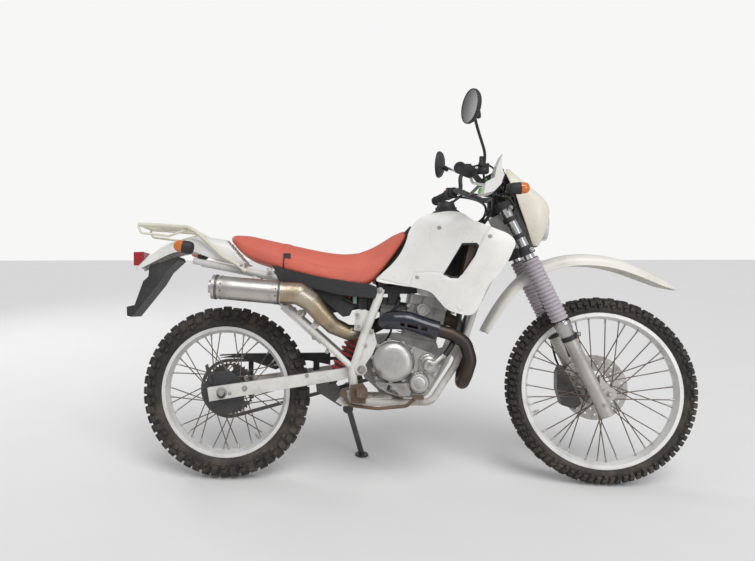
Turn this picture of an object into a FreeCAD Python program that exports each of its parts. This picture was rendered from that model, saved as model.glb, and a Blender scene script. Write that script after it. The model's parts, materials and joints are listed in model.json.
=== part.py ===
"""Dual sport motorcycle, parked on its side stand.

Everything is modelled upright first: X forward, Y to the rider's left, Z up, ground at Z = 0,
with the rear axle above X = 0. The steered pieces are then turned by the parked steering angle,
the whole machine leans onto its stand, and the origin moves to the middle of its footprint.
Sizes are millimetres, angles are degrees.
"""
import FreeCAD
import Part
import math
import os

V = FreeCAD.Vector

# Stance
WHEELBASE = 1375.0
LEAN = 10.5
PARKED_STEER = -3.0
RUN_GAP = 0.3          # gap between a piece and the seat that it rests in

# Rear wheel
REAR_R = 318.0
REAR_TYRE_W = 120.0
REAR_RIM_R = 242.0
REAR_RIM_W = 68.0
REAR_HUB_W = 104.0
REAR_FLANGE_R = 58.0

# Front wheel
FRONT_R = 337.0
FRONT_TYRE_W = 90.0
FRONT_RIM_R = 281.0
FRONT_RIM_W = 52.0
FRONT_HUB_W = 78.0
FRONT_FLANGE_R = 34.0

# Tyres and rims
TYRE_WALL = 11.0
LUG_H = 11.0
REAR_LUG_ROWS = 42      # rows round the tyre, middle and edge lugs in turn
FRONT_LUG_ROWS = 64
LUG_FILL = 0.66         # share of a row that its lugs take
RIM_DEPTH = 20.0
RIM_WALL = 4.0
BEAD_DEPTH = 9.0       # how far the tyre's bead sits below the rim's edge
BEAD_W = 12.0
SPOKE_D = 4.0
SPOKE_COUNT = 36
BEARING_GAP = 0.5
AXLE_D = 16.0

# Front fork and steering
RAKE = 24.5
FORK_X = 1118.0        # fork leg's axis at FORK_Z
FORK_Z = 813.0
CLAMP_OFFSET = 24.0    # from the steering axis forward to the fork legs
FORK_SPREAD = 95.0     # from the middle to each fork leg
FORK_TUBE_D = 41.0
LOW_CLAMP_Z = 818.0    # underside of the lower clamp on the steering axis
SLIDER_D = 48.0
BOOT_D = 62.0
HEAD_TUBE_D = 58.0
HEAD_BORE = 36.0
STEM_D = 24.0

# Brakes and drive
DISC_R = 120.0
DISC_T = 4.0
DISC_Y = 58.0
DRUM_R = 78.0
CHAIN_Y = 78.0
CHAIN_PITCH = 15.875
REAR_TEETH = 42
FRONT_TEETH = 14
ROLLER_R = 5.0
CHAIN_H = 14.0
CHAIN_W = 17.0
DRIVE_X = 572.0
DRIVE_Z = 404.0

# Frame
POST_Y = 132.0
POST_D = 30.0
CRADLE_Y = 100.0
CRADLE_D = 25.0
CRADLE_Z = 294.0
CROSS_X = 640.0        # cross tube that the engine's foot sits on
CROSS_D = 18.0
MOUNT_X = 842.0        # engine's front bolt
MOUNT_Z = 484.0
BACKBONE_D = 48.0
DOWN_TUBE_D = 34.0
RAIL_Y = 100.0
RAIL_D = 24.0
PIVOT_X = 502.0
PIVOT_Z = 415.0
ARM_Y = 92.0           # inner face of each swingarm beam
ARM_W = 24.0
PLATE_T = 6.0

# Engine
CASE_Y = 66.0
LEFT_CASE_Y = 96.0
CYL_TILT = 12.0
CYL_Y = 60.0
CRANK_X = 690.0
CRANK_Z = 430.0
CLUTCH_X = 617.0
CLUTCH_Z = 443.0
CLUTCH_R = 70.0

# Exhaust
PIPE_D = 46.0
PIPE_Y = -150.0
MUFFLER_D = 84.0
MUFFLER_Y = -165.0
MUFFLER_FRONT = (219.0, 684.0)
MUFFLER_REAR = (-16.0, 705.0)

# Bodywork
PANEL_T = 3.0
TANK_GAP = 4.0
CAP_X = 834.0           # fuel cap's axis, and the height that it seats at
CAP_Z = 998.0

# Carrier and number plate holder
RACK_HOLE_D = 6.6
RACK_PLATE_T = 5.0
RACK_STRIP_Y = 34.0
# columns: side, x, y, z of each bolt hole's middle
RACK_HOLES = [("right", -232.0, -18.0, 937.0), ("left", -232.0, 18.0, 937.0)]
PLATE_HOLE_D = 6.6
PLATE_HOLE_L = 6.0
HOLDER_TOP = (-315.0, 730.0)
HOLDER_LOW = (-346.0, 640.0)

# Side stand
STAND_PIVOT = (460.0, 128.0, 250.0)
STAND_FOOT_X = 516.0
STAND_FOOT_Y = 222.0
STAND_D = 22.0
STAND_FOLD = 105.0

# Handlebar and what it carries
GRIP_D = 34.0
BAR_D = 22.0
BAR_END_Y = 400.0
PERCH_Y = 235.0        # from the middle to each lever's clamp
PERCH_D = 38.0
HEADLIGHT_R = 68.0
HEADLIGHT_Z = 952.0
STAY_Y = 92.0          # from the middle to each headlight stay
STAY_T = 5.0


def direction(angle):
    """Unit vector up and back along an axis that leans back by the angle."""
    return V(-math.sin(math.radians(angle)), 0, math.cos(math.radians(angle)))


FORK_UP = direction(RAKE)
FORK_FORWARD = V(math.cos(math.radians(RAKE)), 0, math.sin(math.radians(RAKE)))
REAR_AXLE = V(0, 0, REAR_R)
FRONT_AXLE = V(WHEELBASE, 0, FRONT_R)
STEER_POINT = V(FORK_X, 0, FORK_Z) - FORK_FORWARD * CLAMP_OFFSET
REAR_SPROCKET_R = CHAIN_PITCH / (2 * math.sin(math.pi / REAR_TEETH))
FRONT_SPROCKET_R = CHAIN_PITCH / (2 * math.sin(math.pi / FRONT_TEETH))


def fork_point(z, y=0.0):
    """Point on a fork leg's axis at the height z."""
    return V(FORK_X + (FORK_Z - z) * math.tan(math.radians(RAKE)), y, z)


def steer_point(z):
    """Point on the steering axis at the height z."""
    return V(STEER_POINT.x + (STEER_POINT.z - z) * math.tan(math.radians(RAKE)), 0, z)


def holder_normal():
    """Unit vector square to the number plate, pointing back."""
    run = V(HOLDER_TOP[0] - HOLDER_LOW[0], 0, HOLDER_TOP[1] - HOLDER_LOW[1]).normalize()
    return V(-run.z, 0, run.x)


def holder_hole(side):
    """Middle of a number plate bolt hole, inside the holder's wall."""
    middle = V(HOLDER_TOP[0] + HOLDER_LOW[0], 0, HOLDER_TOP[1] + HOLDER_LOW[1]) * 0.5
    return middle - holder_normal() * (PLATE_HOLE_L / 2) + V(0, side * 30, 0)


PLATE_HOLE_AXIS = tuple(holder_normal())
PLATE_HOLES = [(name, *holder_hole(side)) for name, side in (("right", -1), ("left", 1))]


# Basic shapes

def outline(points, y=0.0):
    """Closed wire through (x, z) points in the plane at y."""
    corners = [V(x, y, z) for x, z in points]
    return Part.makePolygon(corners + corners[:1])


def plate(points, y0, y1):
    """Flat plate with the side outline of (x, z) points, from y0 to y1."""
    face = Part.Face(outline(points, y0))
    return face.extrude(V(0, y1 - y0, 0))


def rounded_plate(points, y0, y1, radius):
    """Plate whose upright corner edges are rounded."""
    solid = plate(points, y0, y1)
    edges = [e for e in solid.Edges if abs(e.tangentAt(e.FirstParameter).y) > 0.99]
    return solid.makeFillet(radius, edges)


def rod(a, b, diameter):
    """Round bar between two points."""
    span = V(*b) - V(*a)
    return Part.makeCylinder(diameter / 2, span.Length, V(*a), span)


def tube(a, b, diameter, bore):
    """Round tube with an open bore between two points."""
    return rod(a, b, diameter).cut(rod(a, b, bore))


def taper(a, b, d_a, d_b):
    """Cone between two points."""
    span = V(*b) - V(*a)
    if abs(d_a - d_b) < 1e-6:
        return rod(a, b, d_a)
    return Part.makeCone(d_a / 2, d_b / 2, span.Length, V(*a), span)


def bent_path(points, bend):
    """Wire of straight runs joined by tangent arcs; bend is each arc's radius."""
    pts = [V(*p) for p in points]
    edges, start = [], pts[0]
    for before, here, after in zip(pts, pts[1:], pts[2:]):
        back = (before - here).normalize()
        ahead = (after - here).normalize()
        half = back.getAngle(ahead) / 2
        room = 0.48 * min((before - here).Length, (after - here).Length)
        cut = min(bend / math.tan(half), room)
        arc_start, arc_end = here + back * cut, here + ahead * cut
        radius = cut * math.tan(half)
        middle = (back + ahead).normalize()
        centre = here + middle * (radius / math.sin(half))
        arc_mid = centre - middle * radius
        edges.append(Part.LineSegment(start, arc_start).toShape())
        edges.append(Part.Arc(arc_start, arc_mid, arc_end).toShape())
        start = arc_end
    edges.append(Part.LineSegment(start, pts[-1]).toShape())
    return Part.Wire(edges)


def bent_rod(points, diameter, bend):
    """Round bar that follows straight runs and arcs."""
    path = bent_path(points, bend)
    start = V(*points[0])
    along = V(*points[1]) - start
    ring = Part.Wire([Part.Circle(start, along, diameter / 2).toShape()])
    return path.makePipeShell([ring], True, True)


def bent_tube(points, diameter, wall, bend):
    """Open pipe that follows straight runs and arcs."""
    outer = bent_rod(points, diameter, bend)
    return outer.cut(bent_rod(points, diameter - 2 * wall, bend))


def lathe(profile, centre):
    """Turned piece about the Y axis through centre, from (radius, y) points."""
    corners = [V(centre.x, centre.y + y, centre.z + r) for r, y in profile]
    wire = Part.makePolygon(corners + corners[:1])
    return Part.Face(wire).revolve(centre, V(0, 1, 0), 360)


def drum(x, z, radius, y0, y1):
    """Disc or boss with its axis along Y."""
    return Part.makeCylinder(radius, abs(y1 - y0), V(x, min(y0, y1), z), V(0, 1, 0))


def block(x0, x1, y0, y1, z0, z1):
    """Box between its low and high corners."""
    return Part.makeBox(x1 - x0, y1 - y0, z1 - z0, V(x0, y0, z0))


def fuse(shapes):
    """One solid from shapes that meet or overlap."""
    first, rest = shapes[0], shapes[1:]
    return first.multiFuse(rest).removeSplitter() if rest else first


def group(shapes):
    """Solids that share a node and don't touch."""
    return Part.makeCompound(shapes)


def mirrored(shape):
    """The same piece on the other side of the machine."""
    return shape.mirror(V(0, 0, 0), V(0, 1, 0))


def both_sides(shape):
    return [shape, mirrored(shape)]


def section_loft(stations, ruled=True):
    """Solid through closed sections, each a list of 3-D points."""
    wires = [Part.makePolygon([V(*p) for p in s] + [V(*s[0])]) for s in stations]
    return Part.makeLoft(wires, True, ruled)


def crown_point(radius, crown, half_width, turn):
    """(radius, y) on a tyre's rounded crown, at an angle in degrees from its middle."""
    t = math.radians(turn)
    return radius - crown + crown * math.cos(t), half_width * math.sin(t)


# Wheels

# angles from the tyre's middle along the top of each lug, row by row in one sector
LUG_ROWS = [[(-17, 0, 17)], [(-62, -36), (36, 62)]]


def straight_run(centre, profile, turn, length):
    """Solid of a (radius, y) profile pushed straight along the tread at an angle."""
    out = V(math.cos(turn), 0, math.sin(turn))
    along = V(-math.sin(turn), 0, math.cos(turn))
    corners = [centre + out * r + V(0, y, 0) - along * (length / 2) for r, y in profile]
    return Part.Face(Part.makePolygon(corners + corners[:1])).extrude(along * length)


def tyre_lug(centre, radius, crown, half_width, angles, turn, length):
    """One block, from below the tyre's surface out to its full radius."""
    foot = LUG_H + 9
    side = [crown_point(radius - foot, crown - foot, half_width - foot, t)
            for t in (angles[0], angles[-1])]
    side += [crown_point(radius, crown, half_width, t) for t in angles[::-1]]
    return straight_run(centre, side, turn, length)


def tyre(centre, radius, width, rim_radius, rim_width, rows):
    """Hollow tyre with lugs, whose beads seat on the rim, made of like sectors."""
    step = 2 * math.pi / rows
    sectors = rows // len(LUG_ROWS)
    round_out = 1 / math.cos(math.pi / sectors)   # the middle of a facet clears the rim
    crown = radius - rim_radius - 16
    base, inside = LUG_H, LUG_H + TYRE_WALL
    outer = [crown_point(radius - base, crown - base, width / 2 - base / 2, t)
             for t in (-86, -60, -34, 0, 34, 60, 86)]
    inner = [crown_point(radius - inside, crown - inside, width / 2 - base / 2 - TYRE_WALL, t)
             for t in (80, 0, -80)]
    bead = (rim_radius - BEAD_DEPTH + RUN_GAP) * round_out
    edge = (rim_radius + 2) * round_out
    bead_y = rim_width / 2 - RIM_WALL - RUN_GAP
    ring = [(bead, -bead_y), (edge, -bead_y)] + outer + [(edge, bead_y), (bead, bead_y)]
    ring += [(bead, bead_y - TYRE_WALL)] + inner + [(bead, -bead_y + TYRE_WALL)]
    flat = [(r / round_out, y) for r, y in ring]
    start = -math.pi / 2 - step / 2
    sides = [start, start + len(LUG_ROWS) * step]
    slice_of_pie = [(centre.x, centre.z)] + [(centre.x + 2 * radius * math.cos(turn),
                                              centre.z + 2 * radius * math.sin(turn))
                                             for turn in sides]
    ring_part = straight_run(centre, flat, sum(sides) / 2, radius).common(
        plate(slice_of_pie, -width, width))
    lugs = [tyre_lug(centre, radius, crown, width / 2, angles, -math.pi / 2 + i * step,
                     radius * step * LUG_FILL)
            for i, row in enumerate(LUG_ROWS) for angles in row]
    sector = fuse([ring_part] + lugs)
    copies = [sector.copy() for _ in range(sectors)]
    for i, copy in enumerate(copies):
        copy.rotate(centre, V(0, 1, 0), 360 * i / sectors)
    return copies[0].multiFuse(copies[1:]).removeSplitter()


def rim(centre, radius, width):
    """Drop-centre rim with rolled edges."""
    half = width / 2
    well = radius - RIM_DEPTH
    seat_r, under_r = radius - BEAD_DEPTH, radius - BEAD_DEPTH - RIM_WALL
    seat_y = half - RIM_WALL - BEAD_W
    right = [(radius, -half), (radius, -half + RIM_WALL), (seat_r, -half + RIM_WALL),
             (seat_r, -seat_y), (well, -seat_y + 6)]
    under = [(under_r, half), (well - RIM_WALL, seat_y - 6), (well - RIM_WALL, -seat_y + 6),
             (under_r, -half)]
    return lathe(right + [(r, -y) for r, y in right[::-1]] + under, centre)


def hub(centre, width, flange_r, barrel_r):
    """Hub barrel with two spoke flanges and an axle bore."""
    half = width / 2
    bore = AXLE_D / 2 + BEARING_GAP
    profile = [(bore, -half), (barrel_r, -half), (barrel_r, -half + 6), (flange_r, -half + 8),
               (flange_r, -half + 14), (barrel_r, -half + 20), (barrel_r, half - 20),
               (flange_r, half - 14), (flange_r, half - 8), (barrel_r, half - 6),
               (barrel_r, half), (bore, half)]
    return lathe(profile, centre)


def spokes(centre, hub_width, flange_r, rim_inner_r):
    """Crossed spokes from each flange to the rim, laced leading and trailing."""
    out = []
    per_side = SPOKE_COUNT // 2
    cross = math.radians(58)
    flange_y = hub_width / 2 - 11
    for i in range(SPOKE_COUNT):
        side = 1 if i % 2 else -1
        row = i // 2
        lead = 1 if row % 2 else -1
        foot = 2 * math.pi * (row + 0.25 * side) / per_side
        head = foot + lead * cross
        y_foot = side * (flange_y + lead * 7.0)
        start = V(centre.x + (flange_r - 3) * math.cos(foot), y_foot,
                  centre.z + (flange_r - 3) * math.sin(foot))
        tip = rim_inner_r - 0.8
        end = V(centre.x + tip * math.cos(head), side * 6, centre.z + tip * math.sin(head))
        out.append(rod(start, end, SPOKE_D))
    return out


def wheel(name, centre, radius, tyre_w, lug_rows, rim_r, rim_w, hub_w, flange_r, barrel_r):
    """Nodes of one spoked wheel."""
    rim_inner = rim_r - RIM_DEPTH - RIM_WALL
    return {
        name + "_tyre": tyre(centre, radius, tyre_w, rim_r, rim_w, lug_rows),
        name + "_rim": rim(centre, rim_r, rim_w),
        name + "_spokes": group(spokes(centre, hub_w, flange_r, rim_inner)),
        name + "_hub": hub(centre, hub_w, flange_r, barrel_r),
    }


def toothed_disc(centre, teeth, thickness, bore, hole_r):
    """Sprocket with teeth that sit between the chain's rollers."""
    pitch_r = CHAIN_PITCH / (2 * math.sin(math.pi / teeth))
    tip = pitch_r - ROLLER_R - 2 * RUN_GAP
    root = tip - 6.0
    points = []
    for i in range(teeth):
        for share, radius in ((-0.30, root), (-0.12, tip), (0.12, tip), (0.30, root)):
            turn = 2 * math.pi * (i + share) / teeth
            points.append((centre.x + radius * math.sin(turn), centre.z + radius * math.cos(turn)))
    disc = plate(points, centre.y - thickness / 2, centre.y + thickness / 2)
    cuts = [drum(centre.x, centre.z, bore, centre.y - thickness, centre.y + thickness)]
    for i in range(6 if hole_r else 0):
        turn = math.pi * i / 3
        cuts.append(drum(centre.x + pitch_r * 0.72 * math.sin(turn),
                         centre.z + pitch_r * 0.72 * math.cos(turn),
                         hole_r, centre.y - thickness, centre.y + thickness))
    return disc.cut(Part.makeCompound(cuts))


def brake_disc():
    """Drilled front disc on its carrier, left of the front hub."""
    centre = FRONT_AXLE + V(0, DISC_Y, 0)
    disc = drum(centre.x, centre.z, DISC_R, DISC_Y, DISC_Y + DISC_T)
    cuts = [drum(centre.x, centre.z, 62, DISC_Y - 1, DISC_Y + DISC_T + 1)]
    for row, radius in enumerate((80.0, 100.0)):
        for i in range(18):
            turn = math.radians(20 * i + 10 * row)
            cuts.append(drum(centre.x + radius * math.cos(turn), centre.z + radius * math.sin(turn),
                             4.0, DISC_Y - 1, DISC_Y + DISC_T + 1))
    ring = disc.cut(Part.makeCompound(cuts))
    carrier = [drum(centre.x, centre.z, 30, FRONT_HUB_W / 2, DISC_Y + DISC_T)]
    for i in range(6):
        turn = math.radians(60 * i)
        reach = V(math.cos(turn), 0, math.sin(turn))
        carrier.append(rod(centre + V(0, DISC_T / 2, 0) + reach * 25,
                           centre + V(0, DISC_T / 2, 0) + reach * 64, 3.8))
    bore = drum(centre.x, centre.z, AXLE_D / 2 + BEARING_GAP, 0, DISC_Y + 20)
    return fuse([ring] + carrier).cut(bore)


# Frame

RADIATOR_Y = 66.0      # from the middle to each radiator's inner face
RADIATOR_W = 74.0
RADIATOR_T = 30.0
RADIATOR_SLOTS = 9     # grooves across each radiator's front
HANGER_X = 945.0       # cross bar that carries both radiators
HANGER_Z = 770.0
SPINE_FRONT = (1012.0, 0.0, 912.0)
SPINE_BACK = (603.0, 0.0, 718.0)
LOW_CROSS_X = 474.0    # cross tube behind the engine that carries the shock's link
LOW_CROSS_Z = 300.0
LOW_CROSS_D = 22.0
SHOCK_LOW = (398.0, 0.0, 346.0)
SHOCK_TOP = (530.0, 0.0, 584.0)
POST_ROUTE = [(575, 700), (566, 664), (511, 525), (473, 408), (477, 338), (478, 300)]


def frame_backbone():
    """Steering head, backbone and the single tube down from the head."""
    head = tube(steer_point(856), steer_point(978), HEAD_TUBE_D, HEAD_BORE)
    spine = rod(SPINE_FRONT, SPINE_BACK, BACKBONE_D)
    front, back = V(*SPINE_FRONT), V(*SPINE_BACK)
    rests = [rod(back + (front - back) * share, back + (front - back) * (share + 0.04),
                 BACKBONE_D + 2 * (TANK_GAP - RUN_GAP)) for share in (0.25, 0.7)]
    down = rod((steer_point(876).x - 14, 0, 866), (948, 0, 668), DOWN_TUBE_D)
    gusset = plate([(1034, 890), (1030, 862), (968, 740), (930, 740), (930, 866)], -4, 4)
    hanger_y = RADIATOR_Y - RUN_GAP
    hanger = rod((HANGER_X, -hanger_y, HANGER_Z), (HANGER_X, hanger_y, HANGER_Z), 12)
    solid = fuse([head, spine, down, gusset, hanger] + rests)
    solid = solid.cut(rod(steer_point(800), steer_point(1050), HEAD_BORE))
    return solid.cut(Part.makeCylinder(70, 60, steer_point(856), FORK_UP * -1))


def frame_cradle():
    """Twin tubes that split from the down tube and run under the engine."""
    route = [(946, 6, 660), (934, 14, 640), (896, 64, 560), (868, CRADLE_Y, 500),
             (838, CRADLE_Y, 427), (752, CRADLE_Y, CRADLE_Z + 4), (540, CRADLE_Y, CRADLE_Z),
             (488, CRADLE_Y, CRADLE_Z + 6)]
    side = bent_rod(route, CRADLE_D, 45)
    cross = rod((CROSS_X, -CRADLE_Y, CRADLE_Z), (CROSS_X, CRADLE_Y, CRADLE_Z), CROSS_D)
    mount = plate([(842, 520), (880, 516), (862, 470), (836, 452), (822, 470)],
                  -CRADLE_Y - 3, -CRADLE_Y + 3)
    return fuse(both_sides(side) + both_sides(mount) + [cross])


def frame_posts():
    """Posts beside the swingarm pivot, with their plates and cross tubes."""
    route = [(x, -POST_Y, z) for x, z in POST_ROUTE]
    post = bent_rod(route, POST_D, 60)
    pivot = drum(PIVOT_X, PIVOT_Z, 21, -POST_Y - 17, -ARM_Y - ARM_W - RUN_GAP)
    web = plate([(508, 500), (530, 545), (548, 556), (560, 505), (545, 470), (522, 436),
                 (500, 400), (480, 380)], -POST_Y - PLATE_T / 2, -POST_Y + PLATE_T / 2)
    foot = plate([(455, 340), (520, 330), (516, 290), (440, 284), (412, 300), (440, 330)],
                 -POST_Y - PLATE_T / 2, -POST_Y + PLATE_T / 2)
    sides = both_sides(fuse([post, pivot, web, foot]))
    cross_top = rod((574, -POST_Y, 694), (574, POST_Y, 694), 22)
    cross_low = rod((LOW_CROSS_X, -POST_Y, LOW_CROSS_Z), (LOW_CROSS_X, POST_Y, LOW_CROSS_Z),
                    LOW_CROSS_D)
    shock_top = rod((SHOCK_TOP[0] + 6, -POST_Y, SHOCK_TOP[2] + 8),
                    (SHOCK_TOP[0] + 6, POST_Y, SHOCK_TOP[2] + 8), 20)
    return fuse(sides + [cross_top, cross_low, shock_top])


RAIL_REAR = ((92, 764), (-120, 806))   # x and z of each seat rail's last run


def subframe():
    """Seat rails, struts and the cross tubes that tie them."""
    (front_x, front_z), (rear_x, rear_z) = RAIL_REAR
    rail = bent_rod([(568, POST_Y, 684), (430, RAIL_Y, 694), (240, RAIL_Y, 736),
                     (front_x, RAIL_Y, front_z), (rear_x, RAIL_Y - 30, rear_z)], RAIL_D, 120)
    rests = [rod((x, RAIL_Y, z), (x, RAIL_Y, seat_low(x) - RUN_GAP - slant), 20)
             for x, z, slant in ((400, 700, 3), (170, 750, 3))]
    strut = rod((476, POST_Y, 416), (110, RAIL_Y, 742), 22)
    strut_plate = plate([(356, 500), (366, 512), (222, 640), (212, 628)],
                        RAIL_Y + 6, RAIL_Y + 18)
    cross = [rod((x, -RAIL_Y, z), (x, RAIL_Y, z), 16) for x, z in ((430, 696), (240, 735), (92, 763))]
    sides = [both for piece in [rail, strut, strut_plate] + rests for both in both_sides(piece)]
    return fuse(sides + cross)


def swingarm():
    """Two box beams, the cross member ahead of the tyre and the pivot tube."""
    beam_side = [(-53, 341), (-45, 292), (438, 375), (500, 392), (518, 404), (520, 420),
                 (508, 432), (428, 413)]
    beam = plate(beam_side, -ARM_Y - ARM_W, -ARM_Y)
    slot = rounded_plate([(332, 404), (401, 419), (400, 411), (333, 394)],
                         -ARM_Y - ARM_W - 1, -ARM_Y - ARM_W + 8, 3)
    axle_slot = drum(0, REAR_R, AXLE_D / 2 + RUN_GAP, -ARM_Y - ARM_W - 1, -ARM_Y + 1)
    beam = beam.cut(slot).cut(axle_slot)
    cross = plate([(322, 352), (322, 388), (352, 394), (356, 358)], -ARM_Y, ARM_Y)
    pivot = rod((PIVOT_X, -ARM_Y - 1, PIVOT_Z), (PIVOT_X, ARM_Y + 1, PIVOT_Z), 26)
    return fuse(both_sides(beam) + [cross, pivot])


# Engine

def cylinder_point(u, w):
    """(x, z) of a point u forward and w up from the crank, along the tilted cylinder."""
    turn = math.radians(CYL_TILT)
    return (CRANK_X + u * math.cos(turn) + w * math.sin(turn),
            CRANK_Z - u * math.sin(turn) + w * math.cos(turn))


BARREL_LOW = 92.0      # foot of the cylinder above the crank, along its tilt
HEAD_FRONT = 82.0
CASE_OUTLINE = [(545, 531), (527, 475), (516, 380), (563, 337), (573, 320), (680, 308),
                (747, 344), (778, 385), (799, 426), (788, 478),
                cylinder_point(74, BARREL_LOW - RUN_GAP), cylinder_point(-50, BARREL_LOW - RUN_GAP),
                (640, 538)]


def engine_crankcase():
    """Crankcase with the clutch, filter, pump and generator covers."""
    middle = plate(CASE_OUTLINE, -CASE_Y, CASE_Y)
    right = plate([(560, 500), (540, 452), (548, 380), (600, 330), (690, 318), (745, 352),
                   (770, 392), (788, 428), (756, 470), (690, 496), (620, 516)], -118, -CASE_Y)
    clutch = lathe([(0, -44), (CLUTCH_R - 22, -44), (CLUTCH_R - 6, -34), (CLUTCH_R, -26),
                    (CLUTCH_R, 0), (0, 0)], V(CLUTCH_X, -118, CLUTCH_Z))
    sump = plate([(552, 372), (600, 366), (676, 366), (672, 330), (640, 322), (590, 334)],
                 -132, -118)
    oil_filter = lathe([(0, -26), (24, -26), (32, -20), (32, 0), (0, 0)], V(706, -118, 368))
    pump = drum(742, 436, 26, -138, -118)
    pump_pipe = rod((722, -136, 428), (796, -136, 467), 18)
    boss = drum(668, 470, 12, -134, -118)
    left = plate([(632, 500), (624, 404), (608, 358), (612, 336), (640, 326), (690, 318),
                  (770, 392), (780, 428), (690, 496)], CASE_Y, LEFT_CASE_Y)
    generator = lathe([(0, 40), (50, 40), (66, 26), (66, 0), (0, 0)], V(690, LEFT_CASE_Y, 420))
    shaft = drum(DRIVE_X, DRIVE_Z, 12, CASE_Y, CHAIN_Y + 6)
    sprocket = toothed_disc(V(DRIVE_X, CHAIN_Y, DRIVE_Z), FRONT_TEETH, 6.0, 8.0, 0)
    rib = plate([(700, 374), (712, 374), (730, 460), (718, 464)], -124, -118)
    low_lug = plate([(618, 316), (624, 284), (656, 284), (664, 316)], -34, 34)
    front_lug = plate([(782, 410), (796, 426), (MOUNT_X + 8, MOUNT_Z - 8),
                       (MOUNT_X + 4, MOUNT_Z + 10), (786, 478), (770, 470)], -24, 24)
    bolt_y = CRADLE_Y - 3 - RUN_GAP
    bolt = rod((MOUNT_X, -bolt_y, MOUNT_Z), (MOUNT_X, bolt_y, MOUNT_Z), 12)
    case = fuse([middle, right, clutch, sump, oil_filter, pump, pump_pipe, boss, left, generator,
                 shaft, sprocket, rib, low_lug, front_lug, bolt])
    return case.cut(rod((CROSS_X, -40, CRADLE_Z), (CROSS_X, 40, CRADLE_Z), CROSS_D + 2 * RUN_GAP))


def engine_cylinder():
    """Cylinder, head and head cover, tilted forward."""
    def slab(u0, u1, w0, w1, half):
        corners = [cylinder_point(u, w) for u, w in ((u0, w0), (u1, w0), (u1, w1), (u0, w1))]
        return plate(corners, -half, half)
    barrel = slab(-48, 72, BARREL_LOW, 158, CYL_Y)
    head = slab(-56, HEAD_FRONT, 158, 214, CYL_Y + 16)
    cover = slab(-52, 70, 214, 250, CYL_Y + 22)
    ribs = [slab(u, u + 6, 162, 210, CYL_Y + 20) for u in (-42, -14, 14, 42)]
    x, z = cylinder_point(14, 230)
    cap = drum(x, z, 22, -CYL_Y - 32, CYL_Y + 32)
    return fuse([barrel, head, cover, cap] + ribs)


def carburettor():
    """Carburettor between the air box and the head."""
    x, z = cylinder_point(-56 - RUN_GAP, 192)
    body = rod((509.9, 0, 648), (x, 0, z), 46)
    bowl = block(580, 624, -28, 28, 592, 630)
    slide = rod((600, 0, 630), (600, 0, 672), 40)
    head = plate([cylinder_point(u, w) for u, w in ((-56 - RUN_GAP, 150), (60, 150), (60, 260),
                                                    (-56 - RUN_GAP, 260))], -60, 60)
    return fuse([body, bowl, slide]).cut(head)


def air_box():
    """Air box under the seat with its ribbed side lid."""
    box = section_loft([
        [(x, -w, z0), (x, w, z0), (x, w + 8, z1), (x, -w - 8, z1)]
        for x, w, z0, z1 in ((300, 62, 655, 672), (395, 74, 612, 670), (470, 74, 622, 672),
                             (507, 60, 628, 674))])
    slots = [block(x, x + 7, -95, -73, 632, 664) for x in range(400, 466, 13)]
    return box.cut(Part.makeCompound([both for slot in slots for both in both_sides(slot)]))


# Exhaust

HEADER_ROUTE = [(824, -22, 592), (862, -22, 578), (884, -24, 500), (876, -36, 405),
                (860, -92, 356), (868, -144, 398), (884, PIPE_Y, 450), (868, PIPE_Y, 512),
                (820, PIPE_Y, 541), (730, PIPE_Y, 566), (668, PIPE_Y, 588), (606, -142, 592),
                (568, -100, 572), (546, -88, 560)]


def exhaust_header():
    """Pipe from the head, down in front, round and back along the right side."""
    pipe = bent_tube(HEADER_ROUTE, PIPE_D, 3, 46)
    x, z = cylinder_point(HEAD_FRONT - 4, 186)
    out_x, out_z = cylinder_point(HEAD_FRONT + 12, 186)
    flange = tube((x, -22, z), (out_x, -22, out_z), 58, PIPE_D - 6)
    stub = tube((x, -22, z), (HEADER_ROUTE[0][0] + 6, -22, HEADER_ROUTE[0][2] - 5), PIPE_D,
                PIPE_D - 6)
    head = plate([cylinder_point(u, w) for u, w in ((0, 100), (HEAD_FRONT, 100),
                                                    (HEAD_FRONT, 270), (0, 270))], -60, 30)
    return fuse([pipe, flange, stub]).cut(head)


def header_shield():
    """Slotted shield outside the header's upper run."""
    route = [(772, PIPE_Y, 553), (730, PIPE_Y, 566), (668, PIPE_Y, 588), (606, -142, 590),
             (574, -108, 574)]
    outer = bent_rod(route, PIPE_D + 20, 46)
    inner = bent_rod(route, PIPE_D + 14, 46)
    keep = block(540, 800, -250, PIPE_Y + 4, 500, 650)
    shell = outer.cut(inner).common(keep)
    slots = [plate([(x, 584 - (x - 640) * 0.2), (x + w, 584 - (x + w - 640) * 0.2),
                    (x + w, 570 - (x + w - 640) * 0.2), (x, 570 - (x - 640) * 0.2)], -250, -160)
             for x, w in ((640, 14), (664, 36), (712, 20))]
    pads = [rod((x, PIPE_Y - PIPE_D / 2 - RUN_GAP, z), (x, PIPE_Y - PIPE_D / 2 - 8, z), 10)
            for x, z in ((752, 559), (700, 577))]
    return fuse([shell.cut(Part.makeCompound(slots))] + pads)


# columns: x, y, z, diameter along the pipe between the header and the muffler
MID_PIPE = [(546, -88, 560, 48), (524, -76, 548, 50), (498, -76, 543, 52), (456, -86, 543, 56),
            (402, -108, 568, 62), (356, -126, 616, 70), (322, -138, 656, 76),
            (280, -150, 682, 80), (210, -166, 686, 80)]


def mid_pipe():
    """Swelling pipe between the header and the muffler."""
    pieces = []
    for (x0, y0, z0, d0), (x1, y1, z1, d1) in zip(MID_PIPE, MID_PIPE[1:]):
        pieces.append(taper((x0, y0, z0), (x1, y1, z1), d0, d1))
        pieces.append(Part.makeSphere(d1 / 2, V(x1, y1, z1)))
    front, along = muffler_line()
    return fuse(pieces[:-1]).cut(Part.makeCylinder(70, 80, front, along))


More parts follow.
